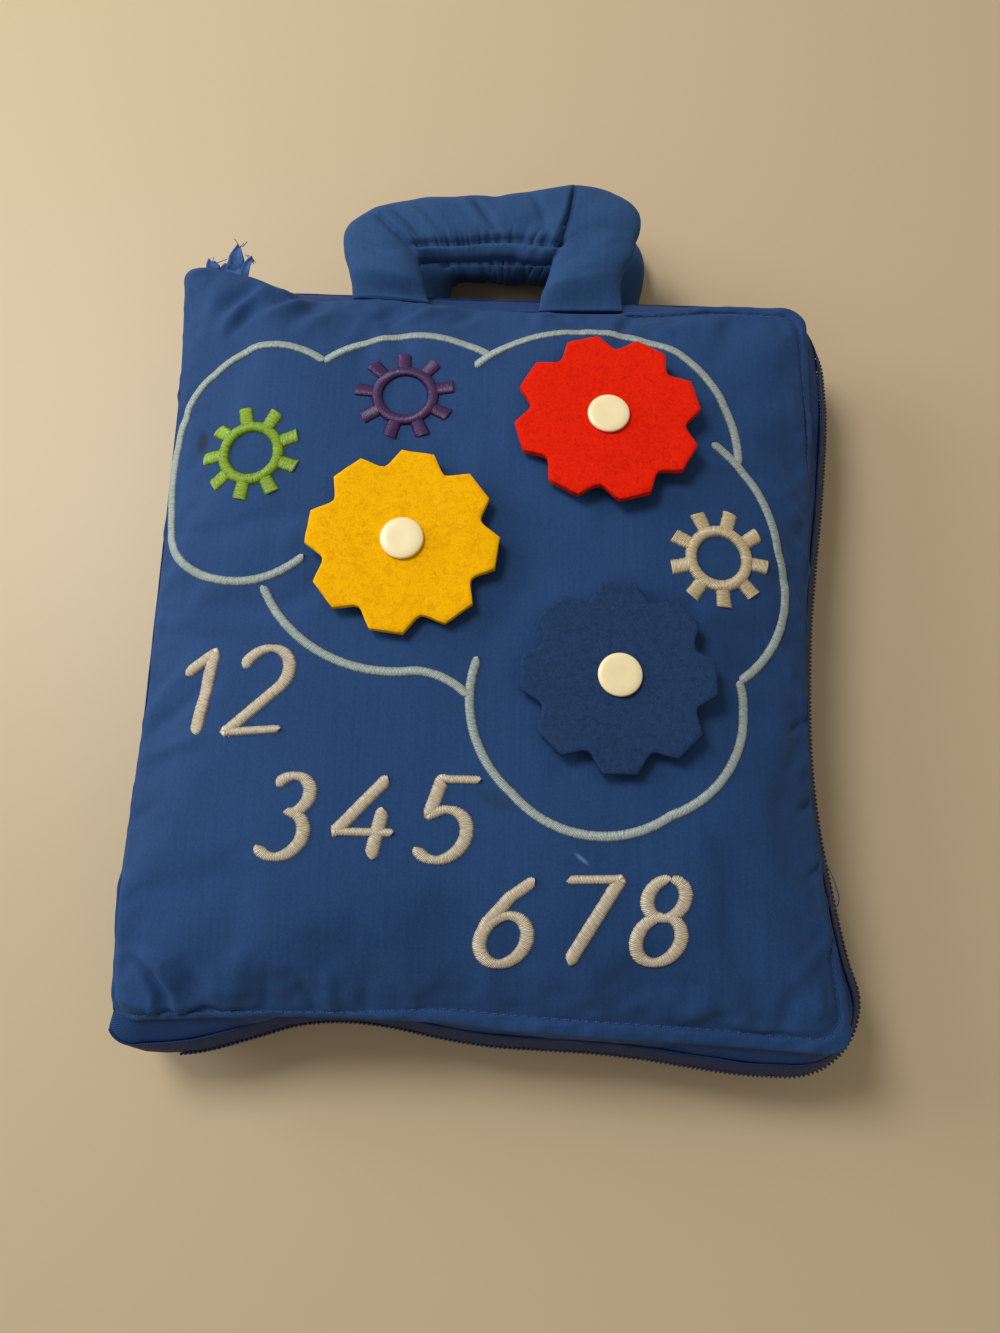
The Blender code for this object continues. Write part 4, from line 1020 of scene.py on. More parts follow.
def make_back_cover():
    cover, shares = sewn_pad(
        "back_cover_cloth",
        back_edge,
        Vector((0, 0)),
        back_upper,
        back_lower,
        BACK_BORDER,
        BACK_SEAM,
        (64, 72),
        BORDER_SHARE,
        PLAIN_COTTON,
    )
    subdivide(cover)
    coords, normals = coords_of(cover), normals_of(cover)
    for i, point in enumerate(coords):
        rise = noise.noise(Vector(point) / (24 * MM)) * 0.5 * MM
        if point[2] > 2 * MM:
            coords[i] += normals[i] * rise
    set_coords(cover, coords)
    return finish_piece(cover, "back", ["back_cover"])


def make_leaf(index):
    low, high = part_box(f"page_{index}")
    centre = ((low + high) / 2).to_2d()
    half_x, half_y = (high.x - low.x) / 2, (high.y - low.y) / 2
    middle = (low.z + high.z) / 2
    half = (high.z - low.z) / 2

    def edge(a, b):
        corner = 15 * MM if a > 0 else 0.5 * MM
        return centre + rounded_edge(a, b, half_x, half_y, corner, 0)

    def rise(share):
        """Full in the middle, dipped along the stitched line and full again at the binding."""
        stitched = math.exp(-(((share - 0.925) / 0.012) ** 2))
        rounded = clamp((1 - share) / 0.03, 0, 1) ** 0.5
        return half * (0.35 + 0.6 * rounded) * (1 - 0.45 * stitched)

    leaf, _shares = sewn_pad(
        f"page_{index}_cloth",
        edge,
        centre,
        lambda share: middle + rise(share),
        lambda share: middle - rise(share),
        ((0.995, 0.3 * half), (1.0, 0.0), (0.995, -0.3 * half)),
        middle,
        (48, 54),
        0.985,
        LEAF_COTTON,
    )
    coords = coords_of(leaf)
    for i, point in enumerate(coords):
        lift = noise.noise(Vector((point[0], point[1], index * 0.1)) / (30 * MM))
        if abs(point[2] - middle) > 0.5 * half:
            coords[i][2] -= math.copysign(0.25 * MM * abs(lift), point[2] - middle)
    set_coords(leaf, coords)
    return finish_piece(leaf, f"page_{index}", [f"page_{index}"])


def make_spine():
    """A padded strip between the two hinge seams, stitched down along its edges."""
    low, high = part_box("spine_panel")
    inner = high.x
    centre = Vector(((low.y + high.y) / 2, (low.z + high.z) / 2))
    half_length, half_height = (high.y - low.y) / 2, (high.z - low.z) / 2
    depth = inner - low.x
    corner = 8 * MM

    def edge(a, b):
        return centre + rounded_edge(a, b, half_length, half_height, corner, 0)

    def bulge(share):
        return 2.2 * MM + (depth - 2.2 * MM) * (1 - (share / 0.95) ** 2.4)

    strip, _shares = sewn_pad(
        "spine_cloth",
        edge,
        centre,
        bulge,
        lambda share: 0.0,
        ((0.96, 1.5 * MM), (0.975, 2.2 * MM), (0.99, 2.0 * MM), (1.0, 1.1 * MM), (0.99, 0.2 * MM)),
        0.0,
        (110, 16),
        0.95,
        PLAIN_COTTON,
    )
    # The strip was drawn lying down. It is stood up, with its bulge away from the leaves.
    coords = coords_of(strip)
    for i, (y, z, out) in enumerate(coords.copy()):
        ripple = noise.noise(Vector((y / (8 * MM), z / (30 * MM), 0))) * 0.6 * MM
        if out > 1.8 * MM:
            # The bulge sags towards the table.
            out += ripple - 1.8 * MM * smooth((z - 18 * MM) / (12 * MM))
        # Its upper edge thins and leans in under the front cover.
        under = smooth((z - 22 * MM) / (14 * MM))
        coords[i] = (inner + 1.2 * MM * under - out * (1 - 0.35 * under), y, z)
    set_coords(strip, coords)
    subdivide(strip)
    return finish_piece(strip, "spine", ["spine_panel"])


# Walls and zip


def pinched(depth):
    """Draws the middle of an edge in by this much, with level ends."""
    return lambda share: depth * math.sin(math.pi * share) ** 2


def drawn_by(table):
    return lambda share: table_value(table, share) * MM


def edge_run(start, end, inset=None):
    """Points from start up to end, drawn in to the right of the way by inset(share)."""
    along = end - start
    inward = Vector((along.y, -along.x)).normalized()
    points = []
    for i in range(SIDE_STEPS):
        share = i / SIDE_STEPS
        points.append(start + along * share + inward * (inset(share) if inset else 0))
    return points


def corner_arc(centre, radius, start_degrees, steps=CORNER_STEPS):
    """A quarter turn clockwise, up to its end."""
    points = []
    for i in range(steps):
        angle = math.radians(start_degrees - 90 * i / steps)
        points.append(centre + radius * Vector((math.cos(angle), math.sin(angle))))
    return points


def round_end(centre, radius):
    """Most of a quarter turn round the low corner by the spine."""
    arc_points = corner_arc(centre, radius, 270, 2 * CORNER_STEPS)
    return arc_points[1 : int(END_ARC_SHARE * len(arc_points)) + 1]


def open_rim(lefts, right, lows, top, corner, insets):
    """The three sides that open, from the spine along the top, right and low side and back.

    lefts is where the top side starts and the low side ends; lows is how low the low side lies
    at its right and at its left.
    """
    top_inset, right_inset, low_inset = insets
    top_left, low_left = lefts
    low_at_right, low_at_left = lows
    end = Vector((low_left, low_at_left))
    points = edge_run(Vector((top_left, top)), Vector((right - corner, top)), top_inset)
    points += corner_arc(Vector((right - corner, top - corner)), corner, 90)
    points += edge_run(
        Vector((right, top - corner)), Vector((right, low_at_right + corner)), right_inset
    )
    points += corner_arc(Vector((right - corner, low_at_right + corner)), corner, 0)
    points += edge_run(Vector((right - corner, low_at_right)), end, low_inset)
    points.append(end)
    return points


def wall_rim(front):
    """Where a wall is sewn under a cover's border."""
    left = HINGE_X + WALL_INSET
    low = -HALF_HEIGHT + WALL_INSET
    rim = open_rim(
        (HINGE_X + WALL_START, left + PANEL_CORNER),
        HALF_WIDTH - WALL_INSET,
        (low, low),
        HALF_HEIGHT - WALL_INSET,
        PANEL_CORNER,
        (pinched(PANEL_PINCH),) * 3,
    )
    rim += round_end(Vector((left + PANEL_CORNER, low + PANEL_CORNER)), PANEL_CORNER)
    return [front_drape(point) for point in rim] if front else rim


def zip_rim(lean=0):
    """The zip's line: straight along the top, where the slider runs, and wavy elsewhere.

    lean draws it in, apart from the top side and the end by the spine, for the tape's sewn edge.
    """
    low = -HALF_HEIGHT - ZIP_BOTTOM_FLARE
    end = Vector((HINGE_X - ZIP_SPINE_FLARE + ZIP_END_CORNER, low + ZIP_LOW_RISE))
    rim = open_rim(
        (HINGE_X + WALL_START, end.x),
        HALF_WIDTH + ZIP_SIDE_FLARE,
        (low, end.y),
        HALF_HEIGHT + ZIP_TOP_FLARE,
        ZIP_CORNER,
        (None, drawn_by(ZIP_SIDE_INSETS), drawn_by(ZIP_LOW_INSETS)),
    )
    rim += round_end(end + Vector((0, ZIP_END_CORNER)), ZIP_END_CORNER)
    # The top end is drawn in towards the spine, before the chain starts.
    for i in range(SIDE_STEPS):
        share = smooth(1 - (rim[i].x - rim[0].x) / CHAIN_START)
        rim[i] = rim[i] - Vector((0, ZIP_END_DRAW * share))
    leans = []
    for i in range(len(rim)):
        ending = smooth((len(rim) - 1 - i) / (2 * CORNER_STEPS))
        leans.append(lean * smooth((i - SIDE_STEPS) / CORNER_STEPS) * ending)
    return [point - out * own for point, out, own in zip(rim, outward(rim), leans)]


def evenly(points, spacing):
    """The same line in even steps, with how far along each point lies."""
    lengths = lengths_along(points)
    count = max(2, round(lengths[-1] / spacing))
    made, place = [], 0
    for i in range(count + 1):
        wanted = lengths[-1] * i / count
        while place < len(points) - 2 and lengths[place + 1] < wanted:
            place += 1
        span = max(lengths[place + 1] - lengths[place], 1e-12)
        share = clamp((wanted - lengths[place]) / span, 0, 1)
        made.append((points[place].lerp(points[place + 1], share), wanted))
    return made


def outward(points):
    """The level direction out of the book at each point of a path that runs clockwise."""
    made = []
    for i in range(len(points)):
        along = points[min(i + 1, len(points) - 1)] - points[max(i - 1, 0)]
        made.append(Vector((-along.y, along.x)).normalized())
    return made


def standing_band(name, low_path, high_path, profile, finish):
    """A band on edge between two paths.

    profile(along, share) gives how far its outer and inner face stand out and its height in z.
    """
    stations = len(low_path)
    outs = outward(low_path)
    steps = lengths_along(low_path)
    shares = [i / 8 for i in range(9)]
    points, uvs, faces, loops = [], [], [], []
    for k in range(stations):
        loop = []
        outer, inner = [], []
        rise = profile(steps[k], 1)[2] - profile(steps[k], 0)[2]
        slant = math.hypot((high_path[k] - low_path[k]).length, rise)
        for share in shares:
            base = low_path[k].lerp(high_path[k], share)
            out, into, z = profile(steps[k], share)
            outer.append((base + outs[k] * out, z, share))
            inner.append((base - outs[k] * into, z, share))
        for place, z, share in [*outer, *reversed(inner)]:
            loop.append(len(points))
            points.append((place.x, place.y, z))
            uvs.append((steps[k], share * slant))
        loops.append(loop)
    skin(faces, loops)
    return closed_piece(name, points, faces, uvs, finish)


def make_wall(front):
    side = 1 if front else -1
    name = "front_wall" if front else "back_wall"
    seam = FRONT_SEAM if front else BACK_SEAM
    sewn_z = seam - side * (HALF_BORDER - SEWN_LAP)
    tape_z = ZIP_HEIGHT + side * (TAPE_TOP + CLOTH_GAP)
    half = WALL_THICKNESS / 2
    seed = 3.0 if front else 8.0

    def profile(along, share):
        rounded = math.sin(math.pi * clamp(share, 0, 1)) ** 0.35
        pucker = noise.noise(Vector((along / (5.5 * MM), share * 1.2, seed)))
        broad = noise.noise(Vector((along / (21 * MM), share * 0.6, seed + 5)))
        bulge = (0.55 * MM * pucker + 0.6 * MM * broad) * math.sin(math.pi * share)
        if not front:
            # It lies flat along the top side, where the handle folds up against it.
            bulge *= 0.2 + 0.8 * smooth((along - 2 * HALF_WIDTH) / (20 * MM))
        out = half * (0.45 + 0.55 * rounded) + bulge
        return out, half * (0.45 + 0.55 * rounded) - bulge, tape_z + (sewn_z - tape_z) * share

    wall = standing_band(
        f"{name}_cloth", zip_rim(WALL_LEAN), wall_rim(front), profile, WALL_CLOTH
    )
    subdivide(wall)
    return finish_piece(wall, "front" if front else "back", [name])


def make_tape(front):
    side = 1 if front else -1
    name = "front_zip_tape" if front else "back_zip_tape"
    chain_z = ZIP_HEIGHT + side * (CHAIN_OUTER - SEWN_LAP / 2)
    high_z = ZIP_HEIGHT + side * (TAPE_TOP + CLOTH_GAP + 2 * SEWN_LAP)
    half = TAPE_THICKNESS / 2
    line = zip_rim()
    chain_end = evenly(line, 1 * MM)[-1][1] - CHAIN_START

    def profile(along, share):
        # Past the bottom stop the two tapes close up to each other.
        closing = smooth((along - chain_end - 7 * MM) / (10 * MM))
        low_z = chain_z - side * (CHAIN_OUTER - SEWN_LAP) * closing
        wave = 0.25 * MM * noise.noise(Vector((along / (12 * MM), share, side)))
        edge = half * (0.6 + 0.4 * math.sin(math.pi * share))
        return edge + wave, edge - wave, low_z + (high_z - low_z) * share

    tape = standing_band(f"{name}_cloth", line, zip_rim(TAPE_LEAN), profile, TAPE_CLOTH)
    return finish_piece(tape, "front" if front else "back", [name])


def tube(points_3d, radius, sides, faces, points, uvs):
    """Adds a round wire along 3D points to a mesh under construction."""
    loops = []
    last_up = Vector((0, 0, 1))
    for i, place in enumerate(points_3d):
        along = points_3d[min(i + 1, len(points_3d) - 1)] - points_3d[max(i - 1, 0)]
        along.normalize()
        across = along.cross(last_up)
        if across.length < 0.1:
            across = along.cross(Vector((0.3, 0.9, 0.2)))
        across.normalize()
        last_up = across.cross(along)
        loop = []
        thick = radius(i / (len(points_3d) - 1)) if callable(radius) else radius
        for j in range(sides):
            angle = 2 * math.pi * j / sides
            spoke = across * math.cos(angle) + last_up * math.sin(angle)
            loop.append(len(points))
            points.append(place + spoke * thick)
            uvs.append((i * 0.3 * MM, j * 0.3 * MM))
        loops.append(loop)
    skin(faces, loops)


def chain_line(spacing):
    """The zip's line between the chain's two ends, in even steps."""
    line = evenly(zip_rim(), spacing)
    last = line[-1][1] - CHAIN_START
    return [point for point, along in line if CHAIN_START <= along <= last]


COIL_STEPS = 10


def make_coil(front):
    """One half of the chain: a nylon wire wound in flat loops along the tape's edge."""
    side = 1 if front else -1
    name = "front_zip_teeth" if front else "back_zip_teeth"
    path = chain_line(COIL_PITCH / COIL_STEPS)
    outs = outward(path)
    half_reach = (CHAIN_OUTER + COIL_OVERLAP) / 2
    middle = CHAIN_OUTER - half_reach
    centres = []
    for i, (point, out) in enumerate(zip(path, outs)):
        turn = 2 * math.pi * i / COIL_STEPS + (0 if front else math.pi)
        z = ZIP_HEIGHT + side * (middle - (half_reach - COIL_WIRE) * math.cos(turn))
        place = point + out * ((0.35 + 0.62 * math.sin(turn)) * MM)
        centres.append(Vector((place.x, place.y, z)))
    points, uvs, faces = [], [], []
    tube(centres, COIL_WIRE, 5, faces, points, uvs)
    coil = closed_piece(f"{name}_coil", points, faces, uvs, COIL_NYLON)
    return finish_piece(coil, "front" if front else "back", [name])


def softened(node, width, finish, body):
    """A hard CAD piece with its edges rounded over."""
    made = frame["nodes"][node].copy()
    made.data = made.data.copy()
    made.name = f"{node}_finished"
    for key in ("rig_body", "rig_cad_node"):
        if key in made:
            del made[key]
    made.parent = None
    SCENE.collection.objects.link(made)
    made.matrix_world = Matrix.Identity(4)
    made.data.materials.clear()
    made.data.materials.append(finish)
    select_only(made)
    bpy.ops.object.mode_set(mode="EDIT")
    bpy.ops.mesh.select_all(action="SELECT")
    bpy.ops.mesh.remove_doubles(threshold=0.00001)
    bpy.ops.mesh.dissolve_limited(angle_limit=math.radians(2))
    bpy.ops.mesh.normals_make_consistent(inside=False)
    bpy.ops.object.mode_set(mode="OBJECT")
    if made.data.has_custom_normals:
        bpy.ops.mesh.customdata_custom_splitnormals_clear()
    limits = {"limit_method": "ANGLE", "angle_limit": math.radians(30)}
    apply_modifier(made, "rounded", "BEVEL", width=width, segments=2, **limits)
    select_only(made)
    bpy.ops.object.shade_smooth_by_angle(angle=math.radians(40))
    deselect()
    return finish_piece(made, body, [node])


# Handles


def border_y(edge, x):
    """Where a cover's top edge crosses this x."""
    a = clamp(x / HALF_WIDTH, -0.85, 0.85)
    return edge(a, 1).y


def strap_line(sections):
    """A strap's inner or outer line in metres, with an even count of points on each section."""
    made = []
    for section, count in zip(sections, STRAP_STATIONS):
        points = [Vector(point) * MM for point in section]
        total = sum((b - a).length for a, b in zip(points, points[1:]))
        made += [point for point, _ in evenly(points, total / count)][:count]
    made.append(Vector(sections[-1][-1]) * MM)
    for _ in range(5):
        kept = made[:]
        for k in range(1, len(made) - 1):
            made[k] = (kept[k - 1] + kept[k] * 2 + kept[k + 1]) / 4
    return made


def ridged(value):
    """Thin ridges where a noise crosses zero: 1 on a ridge and 0 away from it."""
    return max(0, 1 - abs(value) * 3.2) ** 2


def overlap_step(place, line, rise, reach):
    """Cloth that folds over its neighbour to the right of a line: a raised lip and a groove."""
    best = None
    for (ax, ay), (bx, by) in zip(line, line[1:]):
        along = Vector((bx - ax, by - ay))
        way = place - Vector((ax, ay))
        share = clamp(way.dot(along) / along.length_squared, 0, 1)
        away = way - along * share
        side = along.x * way.y - along.y * way.x
        if best is None or away.length < best[0]:
            best = (away.length, side)
    away, side = best
    if side < 0:
        return rise * math.exp(-away / reach) * (1 - 0.7 * math.exp(-((away / 0.9) ** 2)))
    return -rise * math.exp(-((away / 1.6) ** 2))


def strap(name, edge, seam, root_y, lines, relief, finish):
    """A padded strap laid between an inner and an outer line, thin where it is sewn on."""
    window, outer = (strap_line(line) for line in lines)
    middles = [(a + b) / 2 for a, b in zip(window, outer)]
    steps = lengths_along(middles)
    points, uvs, faces, loops = [], [], [], []
    for k, (inner_point, outer_point) in enumerate(zip(window, outer)):
        half_span = (outer_point - inner_point) / 2
        full = smooth(min(steps[k], steps[-1] - steps[k]) / STRAP_SWELL)
        thickness = STRAP_SEAM + (STRAP_THICKNESS - STRAP_SEAM) * full
        loop = []
        for j in range(STRAP_RING):
            angle = 2 * math.pi * j / STRAP_RING
            across, up = math.cos(angle), math.sin(angle)
            place = middles[k] + half_span * across
            place.y += (border_y(edge, place.x) + CLOTH_GAP - root_y) * (1 - full)
            lift = thickness / 2 * math.copysign(abs(up) ** 0.8, up)
            sunk, out = relief(steps[k], k, across, up, place / MM)
            way = half_span.normalized() * across
            point = Vector((place.x, place.y, seam + lift * (1 - sunk * full)))
            point += Vector((way.x, way.y, up)) * out * full * MM
            loop.append(len(points))
            points.append(point)
            uvs.append((steps[k], (angle / (2 * math.pi)) * 60 * MM))
        loops.append(loop)
    skin(faces, loops)
    return closed_piece(name, points, faces, uvs, finish)


def on_grip(k, ease):
    """1 on the grip and 0 on the legs."""
    first, last = STRAP_STATIONS[0], STRAP_STATIONS[0] + STRAP_STATIONS[1]
    return smooth((k - first) / ease) * smooth((last - k) / ease)


# Where the legs fold over the grip, in millimetres
LEFT_MITRE = ((-27.4, 145.6), (-33, 150.6), (-38.8, 155.7), (-43.8, 161.2))
RIGHT_OVERLAP = ((28.6, 176.5), (26.6, 163.8), (21.3, 145.5))
# Creases in the grip, as (places in millimetres, half width, height)
GRIP_CREASES = (
    (((-9, 171), (-5, 164), (0, 157)), 1.6, -1.5),
    (((-14, 172), (-10, 165), (-5, 158)), 2.6, 1.0),
    (((-40, 165), (-33, 158), (-27, 151)), 1.8, -1.2),
    (((-36, 167), (-28, 160), (-22, 153)), 2.0, 0.9),
    (((12, 175), (17, 165), (19, 155)), 2.2, -1.0),
    (((40, 160), (48, 158), (53, 157)), 2.0, -1.1),
    (((-52, 150), (-44, 146), (-38, 146)), 2.6, -0.7),
    (((24, 139), (32, 143), (41, 141)), 3.0, 0.6),
)


def crease_height(place, creases):
    flat = np.array([[place.x, place.y]])
    height = 0.0
    for places, half_width, rise in creases:
        away, share = polyline_place(flat, [np.array(point, float) for point in places])
        fade = math.sin(math.pi * (0.15 + 0.72 * share[0]))
        across = (away[0] / half_width) ** 2
        if across < 6:
            height += rise * fade * (1 - 0.45 * across) * math.exp(-across)
    return height


def make_front_handle():
    seam_across = -0.66

    def relief(along, k, across, up, place):
        """A stitched line parts a narrow roll from the grip, whose cloth is gathered above it."""
        grip = on_grip(k, 8)
        groove = math.exp(-(((across - seam_across) / 0.07) ** 2)) * grip
        beyond = across - seam_across
        close = math.exp(-((beyond / (0.22 if beyond > 0 else 0.14)) ** 2))
        gathers = ridged(noise.noise(Vector((along / (5.2 * MM), beyond * 0.5, 2.0))))
        broad = noise.noise(Vector((along / (16 * MM), across * 1.1, up * 0.8 + 4)))
        fine = noise.noise(Vector((along / (6 * MM), across * 1.6, up + 9)))
        out = 0.9 * broad + 0.3 * fine - 0.9 * gathers * close * grip
        if up > 0:
            face = smooth((up - 0.28) / 0.6)
            out += face * overlap_step(place, LEFT_MITRE, 1.8, 9) * smooth((k - 20) / 20)
            out += face * overlap_step(place, RIGHT_OVERLAP, 1.8, 12) * smooth((226 - k) / 20)
            out += face * crease_height(place, GRIP_CREASES)
        return 0.5 * groove, out

    handle = strap(
        "front_handle_cloth",
        front_edge,
        FRONT_SEAM,
        129 * MM,
        (FRONT_STRAP_INNER, FRONT_STRAP_OUTER),
        relief,
        HANDLE_COTTON,
    )
    return finish_piece(handle, "front_handle", ["front_handle"])


def make_back_handle():
    def relief(along, k, across, up, place):
        grip = on_grip(k, 8)
        beyond = across + 0.6
        gathers = ridged(noise.noise(Vector((along / (5.6 * MM), beyond * 0.6, 9.0))))
        broad = noise.noise(Vector((along / (15 * MM), across, up + 12)))
        close = math.exp(-((beyond / 0.35) ** 2))
        groove = math.exp(-((beyond / 0.07) ** 2)) * grip
        out = 0.9 * broad - 0.9 * gathers * close * grip
        # Near its sewn ends it stays flat above, clear of the wall that leans out over it.
        root = 1 - smooth((place.y - 128) / 20) if up > 0 else 0
        return 0.45 * groove + 0.42 * root, out * (1 - root)

    handle = strap(
        "back_handle_cloth",
        back_edge,
        BACK_SEAM,
        126.5 * MM,
        (BACK_STRAP_INNER, BACK_STRAP_OUTER),
        relief,
        HANDLE_COTTON,
    )
    return finish_piece(handle, "back_handle", ["back_handle"])


# Felt cogs and press studs


def axis_frame(place, axis):
    """A matrix with its Z on a stud's axis and its X across the book."""
    across = (Vector((1, 0, 0)) - axis * axis.x).normalized()
    along = axis.cross(across)
    turned = Matrix((across, along, axis)).transposed().to_4x4()
    return Matrix.Translation(place) @ turned


def cog_outline(turn_degrees):
    """Eight blunt teeth with hollow gaps between them, as (radius, angle)."""
    points = []
    tooth_angle = 2 * math.pi / COG_TEETH
    half_top = tooth_angle * TOOTH_TOP_SHARE / 2
    gap_angle = tooth_angle - 2 * half_top
    depth = COG_RADIUS - COG_ROOT_RADIUS
    for tooth in range(COG_TEETH):
        middle = math.radians(90 + turn_degrees) - tooth * tooth_angle
        for step in range(5):
            share = step / 4
            angle = middle + half_top * (1 - 2 * share)
            flat = COG_RADIUS * math.cos(half_top) / math.cos(half_top * (1 - 2 * share))
            points.append((flat, angle))
        for step in range(1, 8):
            share = step / 8
            hollow = (1.08 - math.hypot(2 * share - 1, 0.4)) / 0.68
            points.append((COG_RADIUS - depth * hollow, middle - half_top - gap_angle * share))
    return points


FELT_RINGS = 15


def make_cog(colour, place, axis):
    """Die-cut felt: its edge is a little soft, and its teeth lift and droop."""
    rim = cog_outline(COG_TURNS[colour])
    base = axis_frame(place, axis)
    seed = {"yellow": 1.3, "red": 5.7, "blue": 9.1}[colour]
    points, uvs, faces = [], [], []
    loops = []
    edge_round = 0.35 * MM
    half = COG_FELT / 2
    middle = FELT_BASE + half
    sections = [i / FELT_RINGS for i in range(FELT_RINGS)]
    levels = [(share, half) for share in sections]
    levels += [(1 - 0.012, half), (0.997, half - edge_round * 0.5), (1.0, half - edge_round * 1.4)]
    levels += [(1.0, edge_round * 1.4 - half), (0.997, edge_round * 0.5 - half)]
    levels += [(1 - 0.012, -half)]
    levels += [(share, -half) for share in reversed(sections)]
    for share, height in levels:
        loop = []
        for radius, angle in rim:
            reach = COG_HOLE + (radius - COG_HOLE) * share
            x, y = reach * math.cos(angle), reach * math.sin(angle)
            where = Vector((x, y, 0))
            droop = noise.noise(where / (26 * MM) + Vector((seed, 0, 0))) * 0.9 * MM
            droop *= smooth((reach - CAP_RIM) / (COG_RADIUS - CAP_RIM))
            nap = noise.noise(where / (1.6 * MM) + Vector((seed, height * 900, 3))) * 0.12 * MM
            fuzz = 1 + 0.006 * noise.noise(Vector((angle * 40, seed, height * 700))) * share
            z = middle + height + droop + math.copysign(nap, height)
            loop.append(len(points))
            points.append(base @ Vector((x * fuzz, y * fuzz, z)))
            uvs.append((x, y))
        loops.append(loop)
    for above, below in zip(loops, loops[1:]):
        join_loops(faces, below, above)
    join_loops(faces, loops[0], loops[-1])
    made = closed_piece(f"{colour}_cog_felt", points, faces, uvs, FELT[colour])
    return finish_piece(made, f"{colour}_cog", [f"{colour}_cog"])


CAP_RIM = 7.15 * MM


def spun(name, profile, finish, base, body, node):
    """A turned piece: its half outline is drawn as an edge chain and spun in edit mode."""
    deselect()
    bpy.ops.mesh.primitive_circle_add(vertices=len(profile), radius=1, fill_type="NOTHING")
    made = bpy.context.object
    made.name = name
    made.data.name = name
    for vert, (radius, height) in zip(made.data.vertices, profile):
        vert.co = (radius, 0, height)
    bpy.ops.object.mode_set(mode="EDIT")
    bpy.ops.mesh.select_all(action="SELECT")
    bpy.ops.mesh.spin(
        steps=64, angle=2 * math.pi, center=(0, 0, 0), axis=(0, 0, 1), use_auto_merge=True
    )
    bpy.ops.mesh.select_all(action="SELECT")
    bpy.ops.mesh.remove_doubles(threshold=0.00001)
    bpy.ops.mesh.normals_make_consistent(inside=False)
    bpy.ops.object.mode_set(mode="OBJECT")
    made.data.transform(base)
    made.data.materials.append(finish)
    bpy.ops.object.shade_smooth_by_angle(angle=math.radians(35))
    deselect()
    return finish_piece(made, body, [node])


def cap_profile():
    """A low dome with a rolled edge, slightly dished in the middle, on a short post."""
    points = [(0.0, CAP_BASE + 1.45 * MM), (2.4 * MM, CAP_BASE + 1.5 * MM)]
    points += [(4.6 * MM, CAP_BASE + 1.56 * MM), (5.6 * MM, CAP_BASE + 1.5 * MM)]
    for step in range(0, 7):
        angle = math.radians(75 - step * 25)
        points.append(
            (CAP_RIM - 0.62 * MM + 0.62 * MM * math.cos(angle),
             CAP_BASE + 0.68 * MM + 0.66 * MM * math.sin(angle))
        )
    points += [(1.1 * MM, CAP_BASE), (1.1 * MM, SOCKET_BASE + 0.6 * MM)]
    points.append((0.0, SOCKET_BASE + 0.6 * MM))
    return points


# Half outlines of the socket ring, over its base, and of the stud, in millimetres
SOCKET_OUTLINE = (
    (1.45, 2.4), (5.2, 2.4), (5.8, 2.2), (6.2, 1.7), (6.2, 0.2), (6.0, 0.0), (3.7, 0.0),
    (3.45, 0.3), (3.45, 1.8), (1.45, 1.8),
)
STUD_OUTLINE = (
    (1.6, 2.8), (2.4, 2.8), (2.8, 2.6), (3.1, 1.9), (2.7, 1.2), (2.75, 1.0), (5.7, 1.0),
    (6.0, 0.8), (6.0, 0.3), (1.6, 0.3),
)


def raised(outline, base):
    return [(radius * MM, base + height * MM) for radius, height in outline]


def make_snaps():
    for colour, (place, axis) in snap_places().items():
        base = axis_frame(place, axis)
        make_cog(colour, place, axis)
        for part, profile, body in (
            ("snap_cap", cap_profile(), f"{colour}_snap"),
            ("snap_socket", raised(SOCKET_OUTLINE, SOCKET_BASE), f"{colour}_snap"),
            ("snap_stud", raised(STUD_OUTLINE, 0), "front"),
        ):
            spun(
                f"{colour}_{part}_turned", profile, CAP_ACETAL, base, body,
                f"{colour}_{part}",
            )


# Embroidery


class Surface:
    """The front cover's finished face, which the embroidery is laid on."""

    def __init__(self, cover):
        mesh = cover.data
        self.tree = BVHTree.FromPolygons(
            [v.co.copy() for v in mesh.vertices], [tuple(p.vertices) for p in mesh.polygons]
        )

    def drop(self, x, y):
        """Where a plumb line meets the cover, and which way the cover faces there."""
        place, normal, _index, _distance = self.tree.ray_cast(
            Vector((x, y, FRONT_TOP + 40 * MM)), Vector((0, 0, -1))
        )
        if place is None:
            return Vector((x, y, FRONT_SEAM)), Vector((0, 0, 1))
        return place, normal


ACROSS_STEPS = 6


